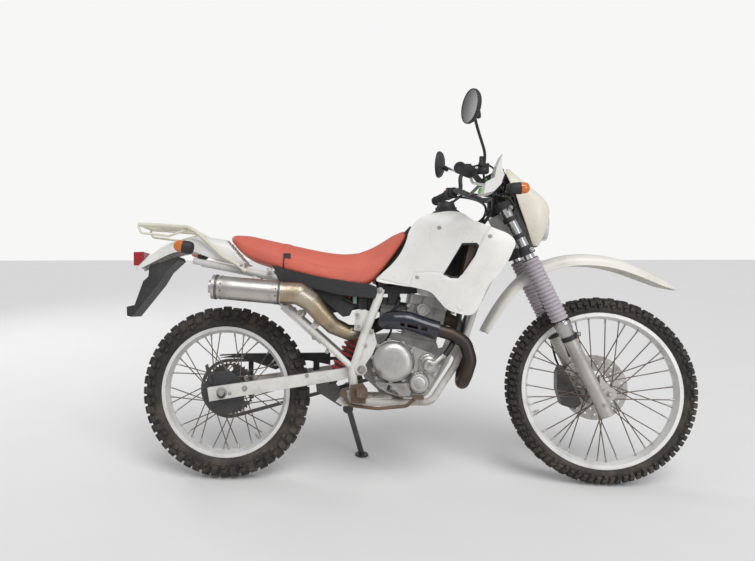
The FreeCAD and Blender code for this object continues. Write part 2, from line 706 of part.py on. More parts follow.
def muffler_line():
    """Middle of the muffler's front face, and the unit vector towards its rear."""
    front = V(MUFFLER_FRONT[0], MUFFLER_Y, MUFFLER_FRONT[1])
    rear = V(MUFFLER_REAR[0], MUFFLER_Y, MUFFLER_REAR[1])
    return front, (rear - front).normalize()


def muffler():
    """Round muffler with its end ring and outlet."""
    front, along = muffler_line()
    rear = V(MUFFLER_REAR[0], MUFFLER_Y, MUFFLER_REAR[1])
    can = rod(front, rear, MUFFLER_D)
    ring = rod(rear, rear + along * 14, MUFFLER_D + 3)
    outlet = tube(rear + along * 12, rear + along * 26, 46, 40)
    band = rod(front + along * 2, front + along * 12, MUFFLER_D + 2)
    hollow = rod(rear - along * 30, rear + along * 40, 40)
    return fuse([can, ring, outlet, band]).cut(hollow)


# Bodywork

# columns: x, then the half width at each height of COVER_LEVELS
COVER_LEVELS = (1010, 965, 900, 800, 700, 590)
COVER_STATIONS = [
    (530, 84, 100, 112, 118, 122, 122),
    (680, 92, 120, 134, 141, 144, 144),
    (820, 98, 138, 156, 166, 170, 168),
    (940, 98, 142, 168, 184, 184, 174),
    (1060, 98, 142, 172, 190, 190, 180),
]
COVER_OUTLINE = [(736, 966), (776, 976), (856, 979), (876, 970), (898, 950), (930, 935),
                 (982, 912), (1033, 884), (1044, 862), (1036, 836), (998, 772), (947, 712),
                 (922, 658), (893, 612), (874, 606), (843, 613), (804, 628), (776, 658),
                 (751, 688), (707, 703), (628, 718), (571, 725), (556, 732), (574, 752),
                 (614, 787), (649, 832), (670, 878), (676, 906)]
VENT_OUTLINE = [(861, 862), (913, 862), (919, 851), (904, 816), (859, 751), (844, 736),
                (819, 737), (793, 750)]


# columns: x, z, y of what each boss sits against
COVER_BOSSES = [(785, 918, 116.0), (712, 745, 92.0), (866, 712, RADIATOR_Y + RADIATOR_W)]


def side_cover():
    """Left cover: a curved panel cut to its side outline, with the air vent."""
    sections = []
    for x, *widths in COVER_STATIONS:
        outer = [(x, w, z) for w, z in zip(widths, COVER_LEVELS)]
        inner = [(x, w - PANEL_T, z) for w, z in zip(widths, COVER_LEVELS)]
        sections.append(outer + inner[::-1])
    skin = section_loft(sections, ruled=False)
    shape = skin.common(plate(COVER_OUTLINE, 60, 260)).cut(plate(VENT_OUTLINE, 60, 260))
    inside = section_loft([[(x, w - 1, z) for w, z in zip(widths, COVER_LEVELS)]
                           + [(x, 0, COVER_LEVELS[-1]), (x, 0, COVER_LEVELS[0])]
                           for x, *widths in COVER_STATIONS], ruled=False)
    bosses = [drum(x, z, 8, seat_y + RUN_GAP, 250).common(inside) for x, z, seat_y in COVER_BOSSES]
    return fuse([shape] + bosses)


# columns: x, bottom, height where it widens, top, half width below, half width above, crown
TANK_STATIONS = [
    (596, 722, 736, 758, 84, 92, 84),
    (650, 724, 760, 822, 90, 100, 80),
    (690, 730, 780, 915, 92, 108, 66),
    (780, 738, 800, 990, 92, 116, 70),
    (860, 752, 880, 996, 54, 118, 76),
    (925, 790, 880, 948, 52, 104, 64),
    (960, 815, 885, 925, 50, 70, 50),
]


def fuel_tank():
    """Saddle tank over the backbone."""
    sections = []
    for x, low, bend, top, below, above, crown in TANK_STATIONS:
        half = [(below, low), (below, bend), (above, bend + (top - bend) * 0.3),
                (above, bend + (top - bend) * 0.72), (crown, top)]
        left = [(x, y, z) for y, z in half]
        right = [(x, -y, z) for y, z in half]
        sections.append(left + right[::-1])
    body = section_loft(sections)
    neck = Part.makeCylinder(34, CAP_Z - 960, V(CAP_X, 0, 960))
    body = fuse([body, neck])
    front, back = V(*SPINE_FRONT), V(*SPINE_BACK)
    reach = (front - back).normalize() * 60
    half = BACKBONE_D / 2 + TANK_GAP
    tunnel = rod(back - reach, front + reach, half * 2)
    below = plate([(back.x - 60, back.z - 28), (front.x, front.z), (front.x, 560),
                   (back.x - 60, 560)], -half, half)
    return body.cut(fuse([tunnel, below]))


def fuel_cap():
    """Filler cap with its vent boss."""
    base = Part.makeCylinder(40, 14, V(CAP_X, 0, CAP_Z + RUN_GAP))
    lid = Part.makeCone(36, 30, 20, V(CAP_X, 0, CAP_Z + 14))
    boss = Part.makeCylinder(7, 8, V(CAP_X, 0, CAP_Z + 32))
    return fuse([base, lid, boss])


# columns: x, underside, top, half width below, half width above
SEAT_STATIONS = [
    (10, 884, 898, 70, 66),
    (40, 850, 900, 98, 84),
    (84, 806, 892, 112, 96),
    (150, 786, 877, 124, 104),
    (250, 760, 856, 132, 108),
    (380, 734, 828, 132, 106),
    (466, 716, 820, 124, 98),
    (528, 708, 835, 112, 88),
    (572, 750, 856, 108, 80),
    (624, 812, 888, 104, 72),
    (668, 880, 918, 96, 64),
]


def seat_low(x):
    """Height of the seat's underside at x."""
    for (x0, low0, *_), (x1, low1, *_) in zip(SEAT_STATIONS, SEAT_STATIONS[1:]):
        if x0 <= x <= x1:
            return low0 + (low1 - low0) * (x - x0) / (x1 - x0)


def seat():
    """Long seat, plain and closed; a soft piece."""
    sections = []
    for x, low, top, below, above in SEAT_STATIONS:
        wall = low + (top - low) * 0.55
        sections.append([(x, -below, low), (x, below, low), (x, below, wall), (x, above, top),
                         (x, -above, top), (x, -below, wall)])
    return section_loft(sections)


# columns: x, lower edge, upper edge, half width, how much the middle stands above the edge
TAIL_STATIONS = [
    (104, 792, 806, 96, 6),
    (60, 790, 862, 100, 14),
    (6, 800, 872, 100, 16),
    (-70, 816, 884, 96, 16),
    (-126, 846, 892, 90, 14),
    (-200, 838, 874, 80, 12),
    (-282, 796, 846, 70, 10),
    (-350, 768, 780, 56, 4),
]


def tail_skin(inset):
    """Solid under the cowl's skin, or under its inner face with an inset."""
    sections = []
    for x, low, high, half, crown in TAIL_STATIONS:
        w, top = half - inset, high - inset
        base = low - (1 if inset else 0)
        sections.append([(x, -w, base), (x, w, base), (x, w * 0.92, top),
                         (x, w * 0.4, top + crown), (x, -w * 0.4, top + crown),
                         (x, -w * 0.92, top)])
    return section_loft(sections)


def tail_cowl():
    beneath_seat = plate([(4, 1000), (4, 884), (14, 872), (72, 802), (130, 772), (130, 1000)],
                         -150, 150)
    skin = tail_skin(0).cut(tail_skin(PANEL_T)).cut(beneath_seat)
    (front_x, front_z), (rear_x, rear_z) = RAIL_REAR
    rise = (rear_z - front_z) / (front_x - rear_x)
    x, width = -40, 14
    foot = (front_z + (front_x - x) * rise + RAIL_D / 2 * math.hypot(1, rise)
            + width / 2 * rise + RUN_GAP)
    bosses = []
    for y in (-81.3, 81.3):
        bosses.append(rod((x, y, foot), (x, y, 900), width).common(tail_skin(1)))
        bosses.append(rod((x, y, foot), (x, y, foot + 12), width))
    return fuse([skin] + bosses)


def rear_rack():
    """Flat carrier behind the seat on two bent rails."""
    rail = bent_rod([(84, 119, 762), (50, 119, 790), (-4, 114, 820), (-80, 112, 890), (-108, 108, 914),
                     (-140, 102, 930), (-262, 92, 940), (-332, 84, 944)], 15, 30)
    low = bent_rod([(-140, 98, 922), (-212, 94, 898), (-322, 84, 912), (-332, 84, 936)], 9, 12)
    cross = [rod((x, -w, z), (x, w, z), 12)
             for x, w, z in ((-140, 100, 930), (-200, 96, 935), (-262, 92, 940), (-330, 84, 944))]
    strips = [rod((-140, y, 930), (-330, y, 944), 9) for y in (-RACK_STRIP_Y, RACK_STRIP_Y)]
    hole_x, hole_z = RACK_HOLES[0][1], RACK_HOLES[0][3]
    pad = block(hole_x - 18, hole_x + 18, -RACK_STRIP_Y, RACK_STRIP_Y,
                hole_z - RACK_PLATE_T / 2, hole_z + RACK_PLATE_T / 2)
    holes = [Part.makeCylinder(RACK_HOLE_D / 2, 40, V(x, y, z - 20)) for _, x, y, z in RACK_HOLES]
    frame = fuse(both_sides(rail) + both_sides(low) + cross + strips + [pad])
    return frame.cut(Part.makeCompound(holes))


def tail_light():
    """Lamp behind the fender's end."""
    body = rounded_plate([(-318, 790), (-320, 843), (-360, 842), (-358, 790)], -46, 46, 3)
    return body.cut(tail_skin(-RUN_GAP))


def plate_holder():
    """Black flap behind the rear wheel that carries a blank plate."""
    blade = [(-186, 824), (-232, 806), (-292, 790), (-296, 747), HOLDER_TOP, HOLDER_LOW,
             (-376, 633), (-374, 599), (-355, 595), (-268, 704), (-258, 716), (-230, 764),
             (-180, 811)]
    inset = holder_normal() * PLATE_HOLE_L
    (top_x, top_z), (low_x, low_z) = HOLDER_TOP, HOLDER_LOW
    hollow = [(-196, 812), (-284, 778), (-288, 742), (top_x - inset.x, top_z - inset.z),
              (low_x - inset.x, low_z - inset.z), (-352, 604), (-262, 712), (-236, 764)]
    flap = plate(blade, -62, 62).cut(plate(hollow, -56, 56))
    bores = [Part.makeCylinder(PLATE_HOLE_D / 2, 20, V(*at) - holder_normal() * 10, holder_normal())
             for _, *at in PLATE_HOLES]
    return flap.cut(Part.makeCompound(bores))


def rear_indicator():
    """Left rear indicator on its stalk."""
    stalk = rod((-128, 86, 852), (-128, 128, 850), 16).cut(tail_skin(-RUN_GAP))
    body = taper((-106, 148, 846), (-148, 148, 857), 50, 44)
    lens = taper((-148, 148, 857), (-180, 148, 859), 42, 30)
    return fuse([stalk, body, lens])


# Drive, suspension and brakes

def drive_chain():
    """Chain round both sprockets."""
    rear, front = V(0, 0, REAR_R), V(DRIVE_X, 0, DRIVE_Z)
    def band(offset):
        big, small = REAR_SPROCKET_R + offset, FRONT_SPROCKET_R + offset
        gap = front - rear
        tilt = math.atan2(gap.z, gap.x)
        lift = math.asin((big - small) / gap.Length)
        up, down = tilt + math.pi / 2 - lift, tilt - math.pi / 2 + lift

        def at(centre, radius, turn):
            return V(centre.x + radius * math.cos(turn), 0, centre.z + radius * math.sin(turn))
        edges = [Part.LineSegment(at(rear, big, up), at(front, small, up)).toShape(),
                 Part.Arc(at(front, small, up), at(front, small, tilt),
                          at(front, small, down)).toShape(),
                 Part.LineSegment(at(front, small, down), at(rear, big, down)).toShape(),
                 Part.Arc(at(rear, big, down), at(rear, big, tilt + math.pi),
                          at(rear, big, up)).toShape()]
        face = Part.Face(Part.Wire(edges))
        face.translate(V(0, CHAIN_Y - CHAIN_W / 2, 0))
        return face.extrude(V(0, CHAIN_W, 0))
    return band(CHAIN_H / 2).cut(band(-ROLLER_R))


def chain_guard():
    """Black guard over the chain and in front of the tyre."""
    inner = CHAIN_Y - CHAIN_W / 2 - 7
    wall = plate([(-44, 436), (47, 452), (280, 456), (392, 458), (392, 412), (280, 434),
                  (180, 392), (50, 436)], inner, inner + 3)
    outer = ARM_Y + 4
    top = plate([(-40, 443), (47, 448), (280, 452), (392, 454), (392, 458), (280, 456),
                 (47, 452), (-40, 447)], inner, outer)
    rear_tab = plate([(70, 359.8), (90, 362.8), (90, 450), (70, 449)], outer - 3, outer)
    front_tab = plate([(326, 389.1), (350, 393.9), (350, 440), (326, 430)], inner, inner + 3)
    return fuse([wall, top, rear_tab, front_tab])


def rear_shock():
    """Damper with its spring between the link and the frame."""
    low, high = V(*SHOCK_LOW), V(*SHOCK_TOP)
    along = (high - low).normalize()
    damper = rod(low, high, 26)
    spring = [rod(low + along * (50 + 15 * i), low + along * (58 + 15 * i), 58) for i in range(11)]
    core = rod(low + along * 44, low + along * 222, 46)
    link = plate([(380, 350), (408, 352), (466, 288), (430, 268), (342, 322), (338, 354.5),
                  (354, 357.3)], -30, 30)
    eye = drum(LOW_CROSS_X, LOW_CROSS_Z, 19, -30, 30)
    cross = drum(LOW_CROSS_X, LOW_CROSS_Z, LOW_CROSS_D / 2 + RUN_GAP, -31, 31)
    mount = rod((SHOCK_TOP[0] + 6, -26, SHOCK_TOP[2] + 8), (SHOCK_TOP[0] + 6, 26, SHOCK_TOP[2] + 8), 34)
    pin = rod((SHOCK_TOP[0] + 6, -30, SHOCK_TOP[2] + 8), (SHOCK_TOP[0] + 6, 30, SHOCK_TOP[2] + 8),
              20 + 2 * RUN_GAP)
    return fuse([damper, core, link, eye, mount] + spring).cut(pin).cut(cross)


def footpegs():
    """Folding pegs on their brackets, both sides."""
    inner = -POST_Y - POST_D / 2 - RUN_GAP
    bracket = plate([(466, 300), (517, 300), (520, 352), (508, 368), (464, 360)], inner - 26, inner)
    peg = block(484, 520, inner - 112, inner - 26, 330, 350)
    teeth = [block(484, 520, inner - 112 + 14 * i, inner - 106 + 14 * i, 350, 356) for i in range(6)]
    return group(both_sides(fuse([bracket, peg] + teeth)))


def foot_controls():
    """Brake pedal on the right and gear lever on the left."""
    pedal = bent_rod([(440, -152, 330), (458, -152, 290), (560, -152, 280), (660, -152, 290),
                      (700, -152, 326)], 12, 30)
    pivot = drum(440, 330, 13, -160, -POST_Y - PLATE_T / 2 - RUN_GAP)
    pad = block(680, 716, -190, -149, 318, 328)
    lever = bent_rod([(628, 146, 352), (664, 150, 338), (718, 150, 346)], 12, 20)
    shaft = drum(628, 352, 10, LEFT_CASE_Y + RUN_GAP, 152)
    toe = rod((716, 146, 346), (716, 190, 346), 20)
    return group([fuse([pedal, pivot, pad]), fuse([lever, shaft, toe])])


def rear_brake_panel():
    """Brake panel beside the rear hub, with its arm and the axle."""
    y0, y1 = -REAR_HUB_W / 2 - 20, -REAR_HUB_W / 2 - 5
    panel = lathe([(AXLE_D / 2, y0 - 8), (30, y0 - 8), (36, y0), (DRUM_R, y0), (DRUM_R, y1),
                   (AXLE_D / 2, y1)], REAR_AXLE)
    arm = plate([(-58, 424), (-68, 418), (-54, 356), (-40, 352), (-42, 366)], y0 - 14, y0 - 8)
    arm_pin = rod((-47, y0 - 14, 360), (-47, y0 + 2, 360), 14)
    axle = rod((0, -ARM_Y - ARM_W - 14, REAR_R), (0, ARM_Y + ARM_W + 8, REAR_R), AXLE_D)
    nut = drum(0, REAR_R, 14, -ARM_Y - ARM_W - 10, -ARM_Y - ARM_W)
    spacer = drum(0, REAR_R, 12, -ARM_Y, y0)
    left_spacer = drum(0, REAR_R, 12, ARM_Y, CHAIN_Y + 3 + BEARING_GAP)
    return fuse([panel, arm, arm_pin, axle, nut, spacer, left_spacer])


# Steered pieces

def fork_tubes():
    """Upper fork tubes through both clamps into the sliders."""
    return group(both_sides(rod(fork_point(1018, FORK_SPREAD), fork_point(586, FORK_SPREAD),
                                FORK_TUBE_D)))


def fork_sliders():
    """Lower fork legs with the axle lugs, and the axle."""
    def leg(side):
        y = side * FORK_SPREAD
        barrel = rod(fork_point(572, y), fork_point(262, y), SLIDER_D)
        collar = rod(fork_point(586, y), fork_point(560, y), SLIDER_D + 8)
        lug = rod((FRONT_AXLE.x, y - 14, FRONT_AXLE.z), (FRONT_AXLE.x, y + 14, FRONT_AXLE.z), 46)
        inner = fork_point(FRONT_R - 20, 0)
        web = plate([(inner.x, 400), (FRONT_AXLE.x, 362), (FRONT_AXLE.x, 314), (inner.x, 290)],
                    y - 10, y + 10)
        return fuse([barrel, collar, lug, web])
    axle = rod((FRONT_AXLE.x, -FORK_SPREAD - 16, FRONT_R), (FRONT_AXLE.x, FORK_SPREAD + 16, FRONT_R),
               AXLE_D)
    spacers = [drum(FRONT_AXLE.x, FRONT_R, 11, side * FORK_SPREAD, side * y)
               for side, y in ((-1, FRONT_HUB_W / 2 + 1), (1, DISC_Y + DISC_T + 1))]
    return fuse([leg(-1), leg(1), axle] + spacers)


BOOT_RINGS = 17


def fork_boot(side):
    """Ribbed rubber boot over the fork tube."""
    top, low = fork_point(812, side * FORK_SPREAD), fork_point(592, side * FORK_SPREAD)
    step = (low - top).Length / BOOT_RINGS
    deep, bore = BOOT_D / 2 - 5, FORK_TUBE_D / 2 + RUN_GAP
    profile = [(bore, 0)]
    for i in range(BOOT_RINGS):
        profile += [(deep, i * step), (BOOT_D / 2, (i + 0.3) * step), (BOOT_D / 2, (i + 0.7) * step)]
    profile += [(deep, BOOT_RINGS * step), (bore, BOOT_RINGS * step)]
    down = (low - top).normalize()
    corners = [top + FORK_FORWARD * r + down * d for r, d in profile]
    face = Part.Face(Part.makePolygon(corners + corners[:1]))
    return face.revolve(top, down, 360)


def clamp(z, thickness, stem_r):
    """One fork clamp between both legs, square to the steering axis."""
    middle = steer_point(z)
    legs = [middle + FORK_FORWARD * CLAMP_OFFSET + V(0, y, 0) for y in (-FORK_SPREAD, FORK_SPREAD)]
    rings = [Part.makeCylinder(FORK_TUBE_D / 2 + 9, thickness, p, FORK_UP) for p in legs]
    centre = Part.makeCylinder(stem_r + 12, thickness, middle, FORK_UP)
    back, front = -18, CLAMP_OFFSET + 12
    corners = [middle + FORK_FORWARD * f + V(0, y, 0)
               for f, y in ((back, -30), (front - 18, -FORK_SPREAD), (front, -FORK_SPREAD),
                            (front, FORK_SPREAD), (front - 18, FORK_SPREAD), (back, 30))]
    web = Part.Face(Part.makePolygon(corners + corners[:1])).extrude(FORK_UP * thickness)
    solid = fuse(rings + [centre, web])
    holes = [Part.makeCylinder(FORK_TUBE_D / 2, thickness * 2, p - FORK_UP * (thickness / 2), FORK_UP)
             for p in legs]
    return solid.cut(Part.makeCompound(holes))


def fork_clamps():
    """Both clamps and the stem that turns in the steering head."""
    low = clamp(LOW_CLAMP_Z, 32, 15)
    high = clamp(984, 26, 15)
    stem = rod(steer_point(822), steer_point(1004), STEM_D)
    bearings = [Part.makeCylinder(HEAD_BORE / 2 - RUN_GAP, 12, steer_point(z), FORK_UP)
                for z in (858, 964)]
    bar_x, _, bar_z = BAR_ROUTE[-1]
    posts = [rod((bar_x, y, 1000), (bar_x, y, bar_z - BAR_D / 2 - RUN_GAP), 24) for y in (-42, 42)]
    return fuse([low, high, stem] + bearings + posts)


BAR_ROUTE = [(835, BAR_END_Y, 1094), (905, 205, 1112), (985, 90, 1052), (1008, 58, 1048)]


def handlebar():
    """Braced handlebar."""
    route = BAR_ROUTE + [(x, -y, z) for x, y, z in BAR_ROUTE[::-1]]
    bar = bent_rod(route, BAR_D, 45)
    brace = rod((945, -147.5, 1082), (945, 147.5, 1082), 12)
    return fuse([bar, brace])


def grip_axis(y):
    """Point along the straight outer part of the handlebar at a distance y from the middle."""
    (x0, y0, z0), (x1, y1, z1) = BAR_ROUTE[0], BAR_ROUTE[1]
    t = (abs(y) - y0) / (y1 - y0)
    return V(x0 + (x1 - x0) * t, y, z0 + (z1 - z0) * t)


def hand_controls():
    """Grips, lever brackets, levers and switches, one set a side."""
    sets = []
    for side in (-1, 1):
        grip = tube(grip_axis(side * 402), grip_axis(side * 284), GRIP_D, BAR_D + RUN_GAP)
        switch = tube(grip_axis(side * 282), grip_axis(side * 246), 44, BAR_D + RUN_GAP)
        perch = tube(grip_axis(side * (PERCH_Y + 7)), grip_axis(side * (PERCH_Y - 7)), PERCH_D,
                     BAR_D + RUN_GAP)
        pivot = grip_axis(side * 244) + V(46, 0, -4)
        arm = rod(grip_axis(side * PERCH_Y) + V(14, 0, 0), pivot, 14)
        lever = bent_rod([pivot, grip_axis(side * 300) + V(56, 0, -6),
                          grip_axis(side * 392) + V(70, 0, -8)], 11, 60)
        pieces = [perch, arm, lever]
        if side < 0:
            pieces += master_cylinder()
        sets += [grip, switch, fuse(pieces)]
    return group(sets)


# brake fluid tank: from and to ahead of, inboard of and above the lever's clamp
FLUID_TANK = ((30, 62), (-6, 32), (-4, 24))


def master_cylinder():
    """Brake fluid tank ahead of the right lever's clamp, with its neck."""
    at = grip_axis(-PERCH_Y)
    (x0, x1), (y0, y1), (z0, z1) = FLUID_TANK
    tank = block(at.x + x0, at.x + x1, at.y + y0, at.y + y1, at.z + z0, at.z + z1)
    neck = rod(at + V(17, 0, 4), at + V(x0 + 4, 8, 6), 11)
    return [tank, neck]


# middle line of the front brake hose, from the fluid tank to the calliper
HOSE_D = 8.0
HOSE_ROUTE = [(946, -214, 1070), (966, -186, 1040), (1012, -126, 1040), (1020, -84, 1044),
              (1062, -64, 1030),
              (1086, -60, 962), (1106, -48, 900), (1124, -6, 868), (1130, 52, 852),
              (1152, 108, 836), (1148, 134, 798), (1166, 137, 720), (1214, 137, 604),
              (1240, 130, 520), (1252, 110, 440)]


def brake_hose():
    """Hose from the fluid tank, past the lower clamp and down the left leg."""
    at = grip_axis(-PERCH_Y)
    (x0, x1), (y0, y1), (bottom, _) = FLUID_TANK
    start = (at.x + (x0 + x1) / 2, at.y + (y0 + y1) / 2, at.z + bottom - 4 * RUN_GAP)
    end = (1272, 90, CALLIPER_TOP + 6 * RUN_GAP)
    return bent_rod([start] + HOSE_ROUTE + [end], HOSE_D, 40)


def knuckle_guard():
    """Small guard ahead of the right hand, on a bracket from the lever's clamp."""
    shape = [(977, 1143), (974, 1102), (982, 1074), (971, 1044), (948, 1020), (914, 1012),
             (922, 1051), (950, 1066), (958, 1100)]
    foot = grip_axis(-PERCH_Y) - V(0, 0, PERCH_D / 2 + 2 * RUN_GAP)
    bracket = bent_rod([foot, foot + V(4, 0, -20), (940, -256, 1058), (962, -292, 1062)], 10, 20)
    return fuse([plate(shape, -370, -290), bracket])


def mirror(side):
    """Round mirror on its bent stem."""
    base = grip_axis(side * PERCH_Y) + V(0, 0, PERCH_D / 2 + 2 * RUN_GAP)
    head = V(886, side * 372, 1302) if side < 0 else V(860, side * 372, 1252)
    knee = V(932, side * 262, 1170) if side < 0 else V(926, side * 262, 1150)
    elbow = V(918, side * 300, 1206) if side < 0 else V(897, side * 300, 1200)
    stem = bent_rod([base, base + V(0, 0, 18), knee, elbow, head + V(8, 0, -38)], 10, 20)
    facing = V(-1.0, side * 0.35, 0.1)
    glass = Part.makeCylinder(58, 14, head, facing)
    back = Part.makeCone(40, 58, 12, head - facing.normalize() * 12, facing)
    return fuse([glass, back, stem])


def instrument_cluster():
    """Speedometer body behind the cowl."""
    body = Part.makeCylinder(44, 54, V(1034, 0, 1088), V(-0.42, 0, 0.9))
    lamps = block(1000, 1040, -54, 54, 1074, 1100)
    stay = block(1026, 1044, -10, 10, 1018, 1092)
    return fuse([body, lamps, stay])


# columns: height, front x, side x, rear x, half width at the side, half width at the front
COWL_STATIONS = [
    (858, 1160, 1150, 1136, 74, 60),
    (925, 1196, 1160, 1112, 98, 70),
    (1005, 1206, 1160, 1084, 108, 74),
    (1062, 1160, 1120, 1070, 104, 66),
    (1110, 1106, 1084, 1050, 88, 56),
    (1150, 1068, 1060, 1044, 60, 40),
]


def headlight_cowl():
    """Cowl round the headlight, open at the back."""
    def skin(inset):
        sections = []
        for z, front, side_x, rear, half, nose in COWL_STATIONS:
            f, s, w, n = front - inset, side_x - inset, half - inset, nose - inset * 0.5
            r = rear - inset
            sections.append([(r, -w, z), (s, -w, z), (f, -n, z), (f, n, z), (s, w, z), (r, w, z)])
        return section_loft(sections)
    shell = skin(0).cut(skin(PANEL_T))
    window = Part.makeCylinder(HEADLIGHT_R + RUN_GAP, 120, V(1120, 0, HEADLIGHT_Z), V(1, 0, 0))
    return shell.cut(window)


def headlight():
    """Round headlight in the cowl."""
    x = 1186
    lens = Part.makeCylinder(HEADLIGHT_R, 12, V(x, 0, HEADLIGHT_Z), V(1, 0, 0))
    bowl = Part.makeCone(40, HEADLIGHT_R, 46, V(x - 46, 0, HEADLIGHT_Z), V(1, 0, 0))
    return fuse([lens, bowl])


def headlight_stay():
    """Left stay that clamps on the fork tube and carries the cowl and the indicator."""
    blade = plate([(1058, 884), (1090, 884), (1108, 925), (1128, 942), (1128, 985), (1084, 1030),
                   (1066, 1066), (1042, 1066), (1042, 1044), (1066, 1040), (1074, 1000),
                   (1052, 960)], STAY_Y - STAY_T, STAY_Y)
    rings = [rod(fork_point(z, FORK_SPREAD), fork_point(z + 16, FORK_SPREAD), FORK_TUBE_D + 12)
             for z in (886, 948)]
    boss = drum(1118, 972, 6, STAY_Y, 100 - RUN_GAP)
    solid = fuse([blade, boss] + rings)
    return solid.cut(rod(fork_point(830, FORK_SPREAD), fork_point(1080, FORK_SPREAD),
                         FORK_TUBE_D + 2 * RUN_GAP))


def front_indicator():
    """Left front indicator on its stalk."""
    stalk = rod((1052, STAY_Y + RUN_GAP, 1052), (1052, 180, 1056), 14)
    body = taper((1030, 190, 1056), (1072, 190, 1056), 34, 40)
    lens = taper((1072, 190, 1056), (1103, 190, 1056), 38, 30)
    return fuse([stalk, body, lens])


# columns: x and z on the ridge, half width, how far the edge hangs below the ridge
FENDER_STATIONS = [
    (1653, 702, 22, 6),
    (1612, 733, 44, 26),
    (1554, 768, 56, 34),
    (1477, 806, 62, 40),
    (1398, 828, 64, 42),
    (1313, 834, 66, 42),
    (1244, 826, 60, 42),
    (1178, 806, 56, 40),
    (1100, 760, 55, 32),
    (1015, 660, 58, 28),
    (948, 540, 56, 24),
]


def front_fender():
    """High fender under the lower clamp, with its tail behind the fork."""
    def skin(inset):
        sections = []
        for i, (x, z, half, drop) in enumerate(FENDER_STATIONS):
            before = FENDER_STATIONS[max(i - 1, 0)]
            after = FENDER_STATIONS[min(i + 1, len(FENDER_STATIONS) - 1)]
            along = V(before[0] - after[0], 0, before[1] - after[1]).normalize()
            up = V(-along.z, 0, along.x)
            if up.z < 0:
                up = up * -1
            ridge = V(x, 0, z) - up * inset
            w, low = half - inset, drop + (4 if inset else 0)
            rows = [ridge - up * low + V(0, w, 0), ridge - up * drop * 0.25 + V(0, w * 0.86, 0),
                    ridge + V(0, w * 0.4, 0), ridge + V(0, -w * 0.4, 0),
                    ridge - up * drop * 0.25 + V(0, -w * 0.86, 0), ridge - up * low + V(0, -w, 0)]
            sections.append([tuple(p) for p in rows])
        return section_loft(sections)
    under = steer_point(LOW_CLAMP_Z) - FORK_UP * RUN_GAP
    foot = [under + FORK_FORWARD * 2, under + FORK_FORWARD * 34]
    block_side = [(p.x, p.z) for p in foot] + [(1150, 800), (1150, 780), (1096, 742)]
    return fuse([skin(0), plate(block_side, -26, 26)]).cut(skin(PANEL_T))


CALLIPER_TOP = 372.0


def brake_calliper():
    """Two-piston calliper with the lug that fastens it behind the left fork leg."""
    body = rounded_plate([(1238, 396), (1258, 404), (1274, 392), (1302, 330), (1324, 280),
                          (1300, 258), (1252, 272), (1236, 330)], DISC_Y - 18, DISC_Y + 26, 5)
    slot = drum(FRONT_AXLE.x, FRONT_AXLE.z, DISC_R + 5.4, DISC_Y - 5.4, DISC_Y + DISC_T + 5.4)
    lug = plate([(1256, CALLIPER_TOP), (1296, CALLIPER_TOP), (1330, 330), (1344, 288), (1306, 270), (1280, 330)],
                DISC_Y + 20, FORK_SPREAD + 5)
    leg = rod(fork_point(572, FORK_SPREAD), fork_point(240, FORK_SPREAD), SLIDER_D + 2 * RUN_GAP)
    return fuse([body, lug]).cut(fuse([slot, leg]))


# Side stand

def ground_z(y):
    """Height of the ground under the leaning machine, seen from its upright frame."""
    return y * math.tan(math.radians(LEAN))


def side_stand():
    """Stand leg with its pivot eye and foot."""
    pivot = V(*STAND_PIVOT)
    foot_t = 6.0
    ground = V(STAND_FOOT_X, STAND_FOOT_Y, ground_z(STAND_FOOT_Y))
    normal = V(0, -math.sin(math.radians(LEAN)), math.cos(math.radians(LEAN)))
    foot_top = ground + normal * foot_t
    leg = rod(pivot, foot_top, STAND_D)
    axis = stand_axis()
    eye = Part.makeCylinder(17, 16, pivot - axis * 8, axis)
    pad = Part.makeCylinder(26, foot_t, ground, normal)
    bore = Part.makeCylinder(6 + BEARING_GAP, 60, pivot - axis * 30, axis)
    return fuse([leg, eye, pad]).cut(bore)


def stand_axis():
    """Hinge axis: square to the leg, in the plane across the machine."""
    leg = V(STAND_FOOT_X, STAND_FOOT_Y, ground_z(STAND_FOOT_Y)) - V(*STAND_PIVOT)
    return V(0, -leg.z, leg.y).normalize()


def stand_bracket():
    """Lug with the pin that the stand folds on."""
    pivot, axis = V(*STAND_PIVOT), stand_axis()
    pin = Part.makeCylinder(6, 40, pivot - axis * 26, axis)
    head = Part.makeCylinder(11, 5, pivot + axis * (STAND_D / 2 + 1), axis)
    disc = Part.makeCylinder(20, 8, pivot - axis * 26, axis)
    arm = rod(pivot - axis * 22, V(474, 96, 300), 16)
    return fuse([pin, head, disc, arm])


def chassis_nodes():
    """Every fixed piece, by node name."""
    cover = side_cover()
    backbone, posts = frame_backbone(), frame_posts()
    cradle = frame_cradle().cut(backbone).cut(posts)
    return {
        "frame_backbone": backbone.cut(posts),
        "frame_cradle": cradle,
        "frame_posts": posts,
        "subframe": subframe().cut(posts),
        "stand_bracket": stand_bracket().cut(posts),
        "swingarm": swingarm(),
        "engine_crankcase": engine_crankcase(),
        "engine_cylinder": engine_cylinder(),
        "carburettor": carburettor(),
        "air_box": air_box(),
        "exhaust_header": exhaust_header(),
        "header_shield": header_shield(),
        "mid_pipe": mid_pipe(),
        "muffler": muffler(),
        "radiators": group(both_sides(radiator())),
        "fuel_tank": fuel_tank(),
        "fuel_cap": fuel_cap(),
        "side_cover_left": cover,
        "side_cover_right": mirrored(cover),
        "seat": seat(),
        "tail_cowl": tail_cowl(),
        "rear_rack": rear_rack(),
        "tail_light": tail_light(),
        "plate_holder": plate_holder(),
        "rear_indicators": group(both_sides(rear_indicator())),
        "drive_chain": drive_chain(),
        "chain_guard": chain_guard(),
        "rear_shock": rear_shock(),
        "footpegs": footpegs(),
        "foot_controls": foot_controls(),
        "rear_brake_panel": rear_brake_panel(),
    }


